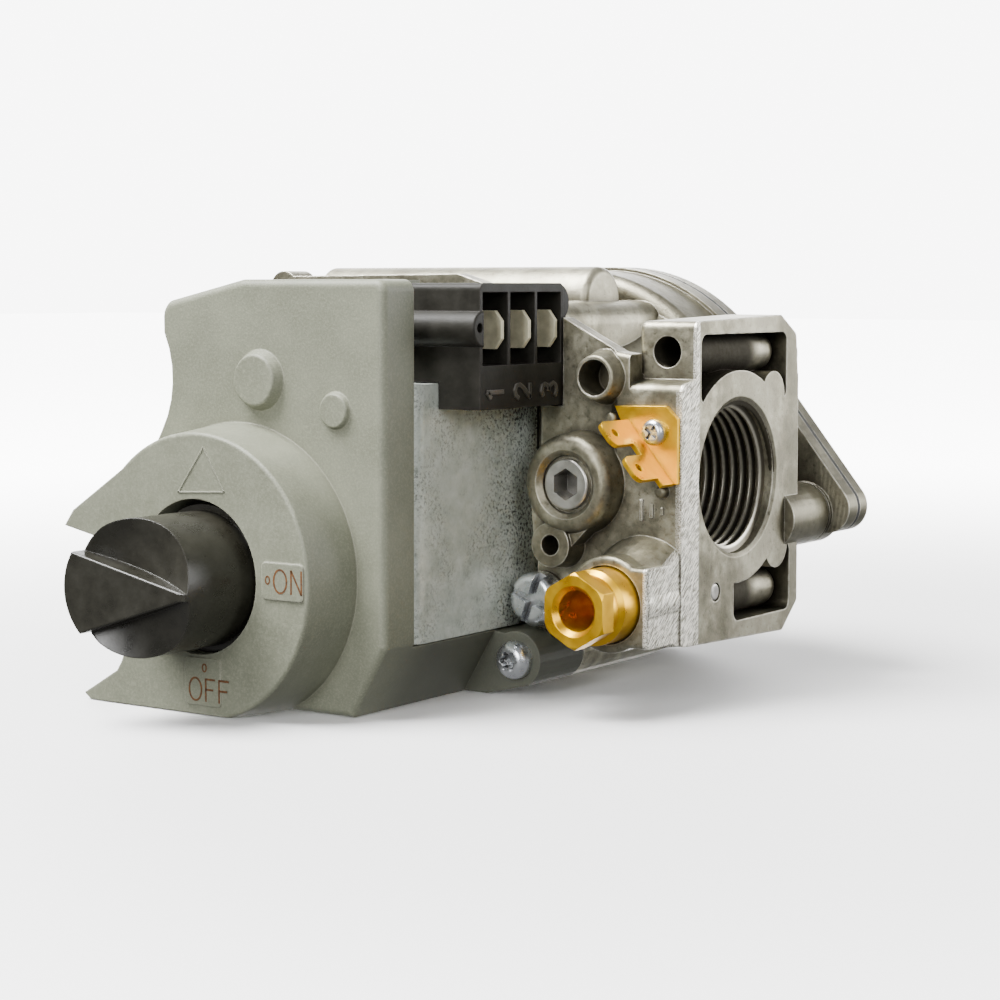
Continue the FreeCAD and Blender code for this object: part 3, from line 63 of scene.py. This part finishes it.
# ---- places on the object, in millimetres ----------------------------------------------------
PORT_WALL_R = 13.2
THREAD_CREST_R = 12.05
THREAD_PITCH = 1.814
THREAD_TURNS = 8
INLET_X = -95.25
PLAQUE_Y = -69.35
BOSS_FRONT_Y = -69.1
HOUSING_AXIS = (-46.5, -0.5)
LABEL_X = -24.5
LABEL_YS = (-38.4, -30.4, -22.4)

# Spring, joint, travel in millimetres, and which end of its box stays: 0 the front, 1 the back.
SPRINGS = (("main_spring", "main_valve_lift", 3.0, 1),
           ("main_plunger_spring", "main_armature_lift", 1.6, 0),
           ("pilot_plunger_spring", "pilot_armature_lift", 1.6, 0))


# ---- node helpers ----------------------------------------------------------------------------
class Graph:
    """A material's node tree with short calls for the nodes used here."""

    def __init__(self, name):
        self.material = bpy.data.materials.new(name)
        self.material.use_nodes = True
        self.tree = self.material.node_tree
        self.shader = self.tree.nodes["Principled BSDF"]
        self.space = self.add("ShaderNodeTexCoord").outputs["Object"]

    def add(self, kind, **settings):
        node = self.tree.nodes.new(kind)
        for key, value in settings.items():
            setattr(node, key, value)
        return node

    def join(self, source, target):
        self.tree.links.new(source, target)

    def put(self, target, value):
        """Links a socket, or sets a constant."""
        if hasattr(value, "is_output"):
            self.join(value, target)
        else:
            target.default_value = value

    def scaled(self, scale):
        """Object coordinates multiplied per axis."""
        node = self.add("ShaderNodeMapping")
        self.join(self.space, node.inputs["Vector"])
        node.inputs["Scale"].default_value = scale
        return node.outputs["Vector"]

    def noise(self, size_mm, detail=4.0, rough=0.55, stretch=None):
        """Noise with features about size_mm across; stretch scales its axes."""
        node = self.add("ShaderNodeTexNoise")
        self.join(self.scaled(stretch) if stretch else self.space, node.inputs["Vector"])
        node.inputs["Scale"].default_value = 1.0 / (size_mm * MM)
        node.inputs["Detail"].default_value = detail
        node.inputs["Roughness"].default_value = rough
        return node.outputs["Fac"]


    def ramp(self, value, stops):
        """Colour ramp from (position, grey or colour) pairs."""
        node = self.add("ShaderNodeValToRGB")
        self.join(value, node.inputs["Fac"])
        elements = node.color_ramp.elements
        while len(elements) < len(stops):
            elements.new(0.5)
        for element, (position, colour) in zip(elements, stops):
            element.position = position
            element.color = rgba(colour)
        return node.outputs["Color"]

    def mix(self, factor, a, b):
        node = self.add("ShaderNodeMix", data_type="RGBA")
        self.put(node.inputs["Factor"], factor)
        self.put(node.inputs["A"], rgba(a))
        self.put(node.inputs["B"], rgba(b))
        return node.outputs["Result"]

    def math(self, operation, a, b=0.0, clamp=False):
        node = self.add("ShaderNodeMath", operation=operation, use_clamp=clamp)
        self.put(node.inputs[0], a)
        self.put(node.inputs[1], b)
        return node.outputs[0]

    def bump(self, height, depth_mm, strength=1.0, normal=None):
        node = self.add("ShaderNodeBump")
        node.inputs["Strength"].default_value = strength
        node.inputs["Distance"].default_value = depth_mm * MM
        self.join(height, node.inputs["Height"])
        if normal is not None:
            self.join(normal, node.inputs["Normal"])
        return node.outputs["Normal"]

    def edges(self, radius_mm, low=0.02, high=0.25):
        """Mask of convex and concave edges: the bevelled normal against the true one."""
        bevel = self.add("ShaderNodeBevel", samples=6)
        bevel.inputs["Radius"].default_value = radius_mm * MM
        face = self.add("ShaderNodeNewGeometry")
        dot = self.add("ShaderNodeVectorMath", operation="DOT_PRODUCT")
        self.join(bevel.outputs["Normal"], dot.inputs[0])
        self.join(face.outputs["Normal"], dot.inputs[1])
        away = self.math("SUBTRACT", 1.0, dot.outputs["Value"])
        return self.ramp(away, [(low, 0.0), (high, 1.0)])

    def hollows(self, distance_mm, low=0.35, high=0.95):
        """Mask of recesses, 1 in the deepest."""
        node = self.add("ShaderNodeAmbientOcclusion", samples=8, only_local=True)
        node.inputs["Distance"].default_value = distance_mm * MM
        return self.ramp(node.outputs["AO"], [(low, 1.0), (high, 0.0)])

    def rounded(self, radius_mm):
        """Normal with the edges rounded off."""
        node = self.add("ShaderNodeBevel", samples=4)
        node.inputs["Radius"].default_value = radius_mm * MM
        return node.outputs["Normal"]

    def position(self, axis):
        """One object coordinate, in millimetres."""
        node = self.add("ShaderNodeSeparateXYZ")
        self.join(self.space, node.inputs["Vector"])
        return self.math("MULTIPLY", node.outputs[axis], 1.0 / MM)

    def between(self, value, low, high, soft):
        """1 where value lies between low and high, with soft ends."""
        rise = self.add("ShaderNodeMapRange", interpolation_type="SMOOTHSTEP")
        fall = self.add("ShaderNodeMapRange", interpolation_type="SMOOTHSTEP")
        for node, ends in ((rise, (low - soft, low + soft)), (fall, (high + soft, high - soft))):
            self.join(value, node.inputs["Value"])
            node.inputs["From Min"].default_value = ends[0]
            node.inputs["From Max"].default_value = ends[1]
        return self.math("MULTIPLY", rise.outputs["Result"], fall.outputs["Result"])

    def strokes(self, width_mm, length_mm, turn):
        """Long thin scratches, turned about X by so many degrees."""
        node = self.add("ShaderNodeMapping", vector_type="TEXTURE")
        self.join(self.space, node.inputs["Vector"])
        node.inputs["Rotation"].default_value = (math.radians(turn), 0.0, math.radians(8.0))
        node.inputs["Scale"].default_value = (width_mm, length_mm, width_mm)
        noise = self.add("ShaderNodeTexNoise")
        self.join(node.outputs["Vector"], noise.inputs["Vector"])
        noise.inputs["Scale"].default_value = 1.0 / MM
        noise.inputs["Detail"].default_value = 2.0
        return noise.outputs["Fac"]

    def finish(self, colour, roughness, metallic, normal=None, **constants):
        self.put(self.shader.inputs["Base Color"], rgba(colour))
        self.put(self.shader.inputs["Roughness"], roughness)
        self.put(self.shader.inputs["Metallic"], metallic)
        if normal is not None:
            self.join(normal, self.shader.inputs["Normal"])
        for key, value in constants.items():
            self.shader.inputs[key.replace("_", " ")].default_value = value
        return self.material


def rgba(colour):
    """Grey number, RGB or RGBA as RGBA; a socket passes through."""
    if hasattr(colour, "is_output"):
        return colour
    if isinstance(colour, (int, float)):
        return (colour, colour, colour, 1.0)
    return tuple(colour) + (1.0,) * (4 - len(colour))


# ---- materials -------------------------------------------------------------------------------
def cast_metal():
    """Die-cast aluminium: mottled, filed on one edge, bright where worn, dark in its recesses, with painted
    shade deep in the flange pockets.
    """
    g = Graph("cast_metal")
    patches = g.noise(7.0, detail=6.0, rough=0.62)
    grain = g.noise(0.30, detail=3.0, rough=0.7)
    pits = g.noise(1.1, detail=6.0, rough=0.7)
    base = g.ramp(patches, [(0.34, (0.150, 0.138, 0.096)), (0.50, (0.27, 0.254, 0.186)),
                            (0.64, (0.46, 0.435, 0.330))])
    smudges = g.ramp(g.noise(2.2, detail=5.0, rough=0.68), [(0.36, 1.0), (0.54, 0.0)])
    base = g.mix(g.math("MULTIPLY", smudges, 0.45), base, (0.110, 0.100, 0.070))
    back = g.between(g.position("Y"), 17.0, 90.0, 3.0)
    saddle = g.between(g.position("Y"), 0.0, 14.0, 5.0)
    base = g.mix(g.math("MULTIPLY", saddle, 0.35), base, (0.52, 0.495, 0.39))
    base = g.mix(g.math("MULTIPLY", back, 0.5), base, (0.20, 0.188, 0.140))
    dark_spots = g.ramp(pits, [(0.30, 1.0), (0.42, 0.0)])
    base = g.mix(g.math("MULTIPLY", dark_spots, 0.6), base, (0.075, 0.066, 0.044))
    wear = g.math("MULTIPLY", g.edges(0.55), g.ramp(g.noise(1.9, detail=5.0), [(0.36, 0.2), (0.56, 1.0)]))
    colour = g.mix(wear, base, (0.88, 0.85, 0.74))
    filed = file_marks(g)
    lines = g.ramp(g.strokes(0.16, 3.0, 42.0), [(0.42, 0.0), (0.54, 1.0)])
    colour = g.mix(g.math("MULTIPLY", filed, 0.7), colour, (0.26, 0.25, 0.20))
    colour = g.mix(g.math("MULTIPLY", filed, lines), colour, (0.92, 0.89, 0.80))
    uneven = g.ramp(g.noise(4.0, detail=4.0), [(0.3, 0.6), (0.6, 1.0)])
    broad = g.math("MULTIPLY", g.hollows(11.0, 0.30, 0.88), uneven)
    colour = g.mix(g.math("MULTIPLY", broad, 0.8), colour, (0.060, 0.052, 0.034))
    # Painted shade: the deep flange pockets are darkened where light doesn't reach.
    colour = g.mix(g.math("MULTIPLY", pocket_shade_and_dull_skin(g), 0.93), colour, (0.040, 0.035, 0.024))
    crevice = g.math("MULTIPLY", g.hollows(2.2, 0.30, 0.85), uneven)
    colour = g.mix(g.math("MULTIPLY", crevice, 0.85), colour, (0.026, 0.021, 0.013))
    rough = g.math("ADD", g.ramp(pits, [(0.3, 0.32), (0.7, 0.50)]), g.math("MULTIPLY", pocket_shade_and_dull_skin(g), 0.3))
    height = g.math("ADD", g.math("MULTIPLY", pits, 0.65), g.math("MULTIPLY", grain, 0.35))
    height = g.math("ADD", height, g.math("MULTIPLY", g.math("MULTIPLY", filed, lines), 0.25))
    height = g.math("ADD", height, g.math("MULTIPLY", turning_lines(g), 0.10))
    return g.finish(colour, rough, 0.88, g.bump(height, 0.16, 0.6, g.rounded(0.35)))


def file_marks(g):
    """Mask of the hand-filed faces: the flange's left edge and the flat side of the pilot boss."""
    x, y = g.position("X"), g.position("Y")
    flange = g.math("MULTIPLY", g.between(x, -0.6, 3.0, 0.1), g.between(y, -25.0, -13.8, 0.3))
    boss = g.math("MULTIPLY", g.between(x, -1.2, 3.0, 0.1), g.between(y, -31.0, -19.6, 0.1))
    return g.math("MAXIMUM", flange, boss)


def pocket_shade_and_dull_skin(g):
    """Mask deep in the two pockets of each flange: it paints shade there and makes the skin rougher."""
    x = g.position("X")
    depth = g.math("MAXIMUM", g.between(x, -9.6, -1.0, 0.5), g.between(x, -94.3, -85.6, 0.5))
    height = g.between(g.math("ABSOLUTE", g.position("Z")), 13.2, 25.0, 0.3)
    along = g.between(g.position("Y"), -13.6, 9.0, 2.5)
    return g.math("MULTIPLY", g.math("MULTIPLY", depth, height), along)


def turning_lines(g):
    """Fine rings about the housing's axis, on its turned rim."""
    x = g.math("SUBTRACT", g.position("X"), HOUSING_AXIS[0])
    z = g.math("SUBTRACT", g.position("Z"), HOUSING_AXIS[1])
    radius = g.math("SQRT", g.math("ADD", g.math("MULTIPLY", x, x), g.math("MULTIPLY", z, z)))
    rings = g.math("SINE", g.math("MULTIPLY", radius, 7.0))
    return g.math("MULTIPLY", rings, g.between(g.position("Y"), 20.5, 60.0, 1.0))


def moulded_cover():
    """Cover: grey-green moulding with a fine leathery grain, paler and rubbed along its edges, with painted
    shade on its lower skirt.
    """
    g = Graph("moulded_cover")
    mottle = g.noise(9.0, detail=5.0)
    speckle = g.noise(0.42, detail=3.0, rough=0.8)
    base = g.ramp(mottle, [(0.3, (0.145, 0.152, 0.108)), (0.7, (0.192, 0.200, 0.146))])
    flecks = g.ramp(speckle, [(0.44, 0.0), (0.72, 1.0)])
    colour = g.mix(g.math("MULTIPLY", flecks, 0.5), base, (0.30, 0.308, 0.230))
    colour = g.mix(g.math("MULTIPLY", g.edges(0.6), 0.5), colour, (0.46, 0.46, 0.36))
    colour = g.mix(g.math("MULTIPLY", g.hollows(3.0, 0.30, 0.80), 0.5), colour, (0.085, 0.080, 0.050))
    y, z = g.position("Y"), g.position("Z")
    # Painted shade: the cover's lower skirt, towards the floor, is darkened.
    skirt_shade = g.math("MULTIPLY", g.between(z, -90.0, -25.0, 3.0), g.between(y, -50.0, 0.0, 8.0))
    colour = g.mix(g.math("MULTIPLY", skirt_shade, 0.72), colour, (0.046, 0.048, 0.038))
    rough = g.ramp(speckle, [(0.3, 0.42), (0.7, 0.62)])
    return g.finish(colour, rough, 0.0, g.bump(speckle, 0.06, 0.65, g.rounded(0.4)), Specular_IOR_Level=0.5)


def soft_black(name, colour, roughness, grain_mm, depth_mm, rub, gloss):
    """Near-black moulding with a faint film and edges rubbed paler."""
    g = Graph(name)
    film = g.noise(3.5, detail=5.0, rough=0.6)
    grain = g.noise(grain_mm, detail=3.0)
    tint = g.mix(g.ramp(film, [(0.35, 0.0), (0.75, 1.0)]), colour, tuple(c * 1.8 + 0.003 for c in colour))
    tint = g.mix(g.math("MULTIPLY", g.edges(0.35), 0.6), tint, rub)
    rough = g.ramp(film, [(0.3, roughness), (0.7, roughness + 0.14)])
    return g.finish(tint, rough, 0.0, g.bump(grain, depth_mm, 0.5, g.rounded(0.25)), Specular_IOR_Level=gloss)


def galvanised():
    """Galvanised sheet: pale blue-grey, cloudy, with dark specks gathered towards its ends."""
    g = Graph("galvanised")
    stain = g.noise(3.0, detail=8.0, rough=0.72)
    cloud = g.noise(13.0, detail=4.0)
    fine = g.noise(0.5, detail=4.0)
    colour = g.ramp(cloud, [(0.3, (0.50, 0.55, 0.49)), (0.7, (0.64, 0.69, 0.62))])
    colour = g.mix(g.ramp(stain, [(0.44, 0.0), (0.66, 0.8)]), colour, (0.80, 0.84, 0.78))
    colour = g.mix(g.ramp(stain, [(0.30, 0.7), (0.42, 0.0)]), colour, (0.27, 0.305, 0.265))
    specks = g.ramp(g.noise(0.60, detail=5.0, rough=0.75), [(0.50, 0.0), (0.58, 1.0)])
    patches = g.ramp(g.noise(7.0, detail=4.0), [(0.44, 0.0), (0.62, 1.0)])
    y = g.position("Y")
    near_edge = g.math("MAXIMUM", g.between(y, -58.0, -49.5, 4.0), g.between(y, -27.0, 0.0, 6.0))
    amount = g.math("ADD", g.math("MULTIPLY", near_edge, 0.65), g.math("MULTIPLY", patches, 0.45))
    colour = g.mix(g.math("MULTIPLY", specks, amount, clamp=True), colour, (0.060, 0.070, 0.058))
    rough = g.ramp(stain, [(0.3, 0.36), (0.7, 0.52)])
    return g.finish(colour, rough, 0.40, g.bump(fine, 0.03, 0.6, g.rounded(0.3)))


def plated(name, low, high, roughness, dark=(0.05, 0.045, 0.04), metallic=0.95):
    """Smooth metal, cloudy between two tones, dull in its recesses."""
    g = Graph(name)
    cloud = g.noise(2.6, detail=4.0)
    brushed = g.noise(0.25, detail=3.0, stretch=(1.0, 0.15, 1.0))
    dirt = g.math("MAXIMUM", g.hollows(1.6, 0.20, 0.72), g.hollows(5.0, 0.12, 0.52))
    colour = g.ramp(cloud, [(0.3, low), (0.7, high)])
    colour = g.mix(g.math("MULTIPLY", g.edges(0.3), 0.5), colour, tuple(min(1.0, c * 1.25) for c in high))
    colour = g.mix(g.math("MULTIPLY", dirt, 0.88), colour, dark)
    rough = g.ramp(cloud, [(0.3, roughness), (0.7, roughness + 0.15)])
    return g.finish(colour, rough, metallic, g.bump(brushed, 0.015, 0.5, g.rounded(0.18)))


def rubber():
    g = Graph("rubber")
    bloom = g.noise(3.0, detail=4.0)
    colour = g.ramp(bloom, [(0.3, (0.018, 0.018, 0.018)), (0.7, (0.035, 0.034, 0.033))])
    return g.finish(colour, 0.65, 0.0, g.bump(g.noise(0.4), 0.02, 0.6))


def pale_plastic():
    g = Graph("pale_plastic")
    tone = g.noise(5.0, detail=3.0)
    colour = g.ramp(tone, [(0.3, (0.60, 0.57, 0.49)), (0.7, (0.68, 0.65, 0.58))])
    return g.finish(colour, 0.5, 0.0, g.bump(g.noise(0.6), 0.02, 0.5))


def wound_wire():
    g = Graph("wound_wire")
    waves = g.add("ShaderNodeTexWave", wave_type="BANDS", bands_direction="Y")
    g.join(g.space, waves.inputs["Vector"])
    waves.inputs["Scale"].default_value = 1.0 / (0.35 * MM * 6.0)
    tone = g.noise(4.0)
    colour = g.ramp(tone, [(0.3, (0.42, 0.16, 0.06)), (0.7, (0.56, 0.25, 0.10))])
    return g.finish(colour, 0.35, 0.8, g.bump(waves.outputs["Fac"], 0.12, 0.9))


def cut_thread():
    """Cut aluminium of the pipe threads: bright crests between dull valleys."""
    g = Graph("cut_thread")
    streaks = g.noise(0.8, detail=4.0)
    y, z = g.position("Y"), g.position("Z")
    radius = g.math("SQRT", g.math("ADD", g.math("MULTIPLY", y, y), g.math("MULTIPLY", z, z)))
    crest = g.between(radius, -1.0, 12.45, 0.22)
    colour = g.mix(crest, (0.100, 0.090, 0.066), (0.92, 0.88, 0.74))
    colour = g.mix(g.math("MULTIPLY", streaks, 0.5), colour, (0.20, 0.185, 0.140))
    return g.finish(colour, 0.32, 0.9, g.bump(streaks, 0.03, 0.5, g.rounded(0.12)))


def burnt_mark():
    """Brown of a burnt-in marking."""
    g = Graph("burnt_mark")
    tone = g.noise(0.5, detail=4.0)
    colour = g.ramp(tone, [(0.35, (0.060, 0.022, 0.006)), (0.65, (0.150, 0.062, 0.016))])
    return g.finish(colour, 0.7, 0.0, g.bump(g.noise(0.2), 0.02, 0.6))


def paint_nodes():
    """Gives every CAD node its material."""
    by_slot = {
        "die_cast": cast_metal(),
        "cover_plastic": moulded_cover(),
        "knob_plastic": soft_black("knob_plastic", (0.0120, 0.0112, 0.0075), 0.24, 0.45, 0.03,
                                   (0.05, 0.048, 0.04), 0.55),
        "terminal_plastic": soft_black("terminal_plastic", (0.0130, 0.0122, 0.0095), 0.42, 0.6, 0.06,
                                       (0.05, 0.045, 0.04), 0.18),
        "zinc_sheet": galvanised(),
        "zinc_screw": plated("zinc_screw", (0.50, 0.53, 0.56), (0.80, 0.82, 0.84), 0.20),
        "bright_steel": plated("bright_steel", (0.40, 0.39, 0.36), (0.62, 0.61, 0.57), 0.28),
        "brass": plated("brass", (0.74, 0.385, 0.010), (0.88, 0.525, 0.022), 0.26, (0.13, 0.048, 0.004), 0.9),
        "tinned_brass": plated("tinned_brass", (0.42, 0.39, 0.26), (0.66, 0.62, 0.44), 0.45,
                               (0.22, 0.19, 0.12), 0.10),
        "aluminium": plated("aluminium", (0.60, 0.60, 0.60), (0.74, 0.74, 0.75), 0.33),
        "rubber": rubber(),
        "coil_plastic": pale_plastic(),
        "copper_wire": wound_wire(),
    }
    for entry in frame["record"]["subparts"]:
        node = frame["nodes"][entry["node"]]
        node.data.materials.clear()
        node.data.materials.append(by_slot[entry["material_slot"]])
    return by_slot


# ---- pieces that the smooth CAD bodies don't carry ---------------------------------------------
def piece(name, shape, body, material):
    """Turns a bmesh in millimetres into a piece of the object."""
    bmesh.ops.recalc_face_normals(shape, faces=shape.faces)
    bmesh.ops.scale(shape, vec=(MM, MM, MM), verts=shape.verts)
    mesh = bpy.data.meshes.new(name)
    shape.to_mesh(mesh)
    shape.free()
    mesh.materials.append(material)
    thing = bpy.data.objects.new(name, mesh)
    bpy.context.scene.collection.objects.link(thing)
    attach(thing, body)
    return thing


def thread(name, mouth_x, inward, material):
    """Helical ridge of a pipe thread: it starts at the mouth and stands in from the bore's wall."""
    steps = 64
    shape = bmesh.new()
    rings = []
    total = THREAD_TURNS * steps
    for i in range(total + 1):
        turn = 2.0 * math.pi * i / steps
        x = mouth_x + inward * (0.9 + THREAD_PITCH * i / steps)
        grow = min(1.0, i / (steps * 0.4), (total - i) / (steps * 0.4))
        crest = PORT_WALL_R - (PORT_WALL_R - THREAD_CREST_R) * grow
        section = ((PORT_WALL_R + 0.1, -0.74), (crest, -0.17), (crest, 0.17), (PORT_WALL_R + 0.1, 0.74))
        rings.append([shape.verts.new((x + dx, r * math.cos(turn), r * math.sin(turn))) for r, dx in section])
    for near, far in zip(rings, rings[1:]):
        for k in range(4):
            shape.faces.new((near[k], near[(k + 1) % 4], far[(k + 1) % 4], far[k]))
    shape.faces.new(rings[0])
    shape.faces.new(list(reversed(rings[-1])))
    ridge = piece(name, shape, "housing", material)
    ridge.data.shade_smooth()
    ridge.data.set_sharp_from_angle(angle=math.radians(35.0))


def ribbon(shape, points, width, depth, place):
    """Adds one pen stroke to a bmesh: a raised bar along points. place(u, v, w) gives its 3-D points."""
    closed = points[0] == points[-1]
    line = [Vector(p) for p in (points[:-1] if closed else points)]
    sections = []
    for i, point in enumerate(line):
        before = line[i - 1] if closed or i else point
        after = line[(i + 1) % len(line)] if closed or i < len(line) - 1 else point
        along = (after - before).normalized()
        side = Vector((-along.y, along.x)) * (width / 2.0)
        corners = ((point + side, 0.0), (point + side, depth), (point - side, depth), (point - side, 0.0))
        sections.append([shape.verts.new(place(p.x, p.y, w)) for p, w in corners])
    pairs = list(zip(sections, sections[1:]))
    if closed:
        pairs.append((sections[-1], sections[0]))
    for near, far in pairs:
        for k in range(4):
            shape.faces.new((near[k], near[(k + 1) % 4], far[(k + 1) % 4], far[k]))
    if not closed:
        shape.faces.new(sections[0])
        shape.faces.new(list(reversed(sections[-1])))


def oval(u, v, half_u, half_v, count=28):
    points = [(u + half_u * math.cos(2 * math.pi * i / count), v + half_v * math.sin(2 * math.pi * i / count))
              for i in range(count)]
    return points + points[:1]


def press_springs():
    """Gives each spring its own copy of its mesh."""
    for node, joint, travel, fixed_end in SPRINGS:
        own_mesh(frame["nodes"][node])


# Strokes of each sign in a box one unit high; the second value is the sign's width.
SIGNS = {
    "O": ([oval(0.36, 0.5, 0.34, 0.48)], 0.86),
    "N": ([[(0.08, 0.0), (0.08, 1.0)], [(0.08, 1.0), (0.62, 0.0)], [(0.62, 0.0), (0.62, 1.0)]], 0.82),
    "F": ([[(0.08, 0.0), (0.08, 1.0)], [(0.08, 0.96), (0.60, 0.96)], [(0.08, 0.52), (0.50, 0.52)]], 0.74),
    "1": ([[(0.12, 0.78), (0.34, 1.0)], [(0.34, 1.0), (0.34, 0.0)]], 0.6),
    "2": ([[(0.06, 0.76), (0.16, 0.94), (0.34, 1.0), (0.52, 0.92), (0.56, 0.72), (0.44, 0.48), (0.06, 0.0)],
           [(0.04, 0.03), (0.60, 0.03)]], 0.7),
    "3": ([[(0.08, 0.88), (0.26, 1.0), (0.46, 0.94), (0.52, 0.76), (0.42, 0.58), (0.28, 0.54)],
           [(0.28, 0.54), (0.46, 0.46), (0.56, 0.26), (0.46, 0.07), (0.26, 0.0), (0.06, 0.12)]], 0.7),
}


def write(shape, text, at, height, width, depth, place):
    """Writes signs from a lower left corner (u, v) towards +u."""
    u = at[0]
    for sign in text:
        lines, advance = SIGNS[sign]
        for line in lines:
            ribbon(shape, [(u + px * height, at[1] + py * height) for px, py in line], width, depth, place)
        u += advance * height


def markings(burnt, plastic, black):
    """ON and OFF with their ring marks, the triangle above the knob and the numbers of the terminals."""
    words = bmesh.new()
    on_plaque = lambda u, v, w: (u, PLAQUE_Y + 0.10 - w, v)
    write(words, "ON", (-46.3, -16.1), 3.9, 0.34, 0.13, on_plaque)
    ribbon(words, oval(-47.5, -14.1, 0.42, 0.62, 16), 0.28, 0.13, on_plaque)
    write(words, "OFF", (-64.6, -35.2), 3.9, 0.34, 0.13, on_plaque)
    ribbon(words, oval(-61.2, -29.6, 0.42, 0.62, 16), 0.28, 0.13, on_plaque)
    piece("position_marks", words, "housing", burnt)
    triangle = bmesh.new()
    corners = [(-61.1, 6.7), (-66.7, -0.9), (-56.7, -0.4)]
    for start, end in zip(corners, corners[1:] + corners[:1]):
        ribbon(triangle, [start, end], 0.30, 0.22, lambda u, v, w: (u, BOSS_FRONT_Y + 0.10 - w, v))
    piece("triangle_mark", triangle, "housing", plastic)
    numbers = bmesh.new()
    for sign, y in zip("123", LABEL_YS):
        on_side = lambda u, v, w: (LABEL_X - 0.10 + w, y - v, u)
        write(numbers, sign, (13.9, -2.0), 4.6, 0.75, 0.45, on_side)
    piece("terminal_numbers", numbers, "housing", black)


# ---- stage -----------------------------------------------------------------------------------
def floor():
    mesh = bpy.data.meshes.new("floor")
    shape = bmesh.new()
    bmesh.ops.create_grid(shape, x_segments=2, y_segments=2, size=4.0)
    bmesh.ops.translate(shape, verts=shape.verts, vec=(0.0, 0.0, FLOOR_Z - 0.0002))
    shape.to_mesh(mesh)
    shape.free()
    plane = bpy.data.objects.new("floor", mesh)
    bpy.context.scene.collection.objects.link(plane)
    g = Graph("floor")
    tone = g.noise(200.0, detail=2.0)
    material = g.finish(g.ramp(tone, [(0.3, 0.88), (0.7, 0.91)]), 0.6, 0.0)
    x, y = g.position("X"), g.position("Y")
    away = g.math("SQRT", g.math("ADD", g.math("MULTIPLY", x, x), g.math("MULTIPLY", y, y)))
    g.put(g.shader.inputs["Emission Color"], (1.0, 1.0, 1.0, 1.0))
    glow = g.math("MULTIPLY", g.between(away, 330.0, 9e5, 230.0), FLOOR_GLOW)
    g.put(g.shader.inputs["Emission Strength"], glow)
    mesh.materials.append(material)
    # The white floor must not light the object's underside, so only the camera sees it.
    plane.visible_diffuse = False
    plane.visible_glossy = False


def area_light(name, at, target, size, power, colour=(1.0, 1.0, 1.0)):
    data = bpy.data.lights.new(name, "AREA")
    data.shape = "RECTANGLE"
    data.size, data.size_y = size
    data.energy = power
    data.color = colour
    lamp = bpy.data.objects.new(name, data)
    lamp.location = Vector(at)
    lamp.rotation_mode = "QUATERNION"
    lamp.rotation_quaternion = (Vector(target) - Vector(at)).to_track_quat("-Z", "Y")
    bpy.context.scene.collection.objects.link(lamp)


def light():
    """A dim room with one bright backdrop behind the object, a key lamp above and soft fills in front."""
    world = bpy.data.worlds.new("studio")
    world.use_nodes = True
    tree = world.node_tree
    back = tree.nodes["Background"]
    way = tree.nodes.new("ShaderNodeTexCoord")
    toward = tree.nodes.new("ShaderNodeVectorMath")
    toward.operation = "DOT_PRODUCT"
    toward.inputs[1].default_value = BACKDROP_WAY
    glow = tree.nodes.new("ShaderNodeMapRange")
    glow.interpolation_type = "SMOOTHSTEP"
    glow.inputs["From Min"].default_value = 0.82
    glow.inputs["From Max"].default_value = 0.95
    glow.inputs["To Min"].default_value = ROOM_GLOW
    glow.inputs["To Max"].default_value = BACKDROP_GLOW
    tree.links.new(way.outputs["Generated"], toward.inputs[0])
    tree.links.new(toward.outputs["Value"], glow.inputs["Value"])
    tree.links.new(glow.outputs["Result"], back.inputs["Strength"])
    back.inputs["Color"].default_value = (1.0, 1.0, 1.0, 1.0)
    bpy.context.scene.world = world
    target = (-0.05, -0.01, 0.0)
    area_light("key", (-0.42, -0.34, 0.92), target, (0.65, 0.65), 54.0)
    area_light("rear", (0.64, 0.80, 0.20), target, (0.70, 0.50), 8.0)
    area_light("side", (0.75, -0.55, 0.34), target, (0.45, 0.45), 4.0)
    area_light("front", (0.06, -1.0, 0.30), target, (0.30, 0.45), 7.0)


def camera():
    data = bpy.data.cameras.new("camera")
    data.lens = CAMERA_LENS
    data.sensor_width = 36.0
    data.clip_start = 0.01
    data.clip_end = 20.0
    eye = bpy.data.objects.new("camera", data)
    eye.location = Vector(CAMERA_AT) * MM
    eye.rotation_euler = (math.radians(90.0 - CAMERA_PITCH), 0.0, math.radians(CAMERA_AZIMUTH))
    bpy.context.scene.collection.objects.link(eye)
    bpy.context.scene.camera = eye


def smooth_nodes():
    """Smooth shading that keeps edges sharper than 30 degrees."""
    for node in frame["nodes"].values():
        node.data.shade_smooth()
        node.data.set_sharp_from_angle(angle=math.radians(30.0))


def main():
    smooth_nodes()
    materials = paint_nodes()
    press_springs()
    ridges = cut_thread()
    thread("outlet_thread", 0.0, -1.0, ridges)
    thread("inlet_thread", INLET_X, 1.0, ridges)
    figures = soft_black("figure_plastic", (0.030, 0.027, 0.021), 0.30, 0.5, 0.02, (0.10, 0.095, 0.08), 0.8)
    markings(burnt_mark(), materials["cover_plastic"], figures)
    floor()
    light()
    camera()


main()
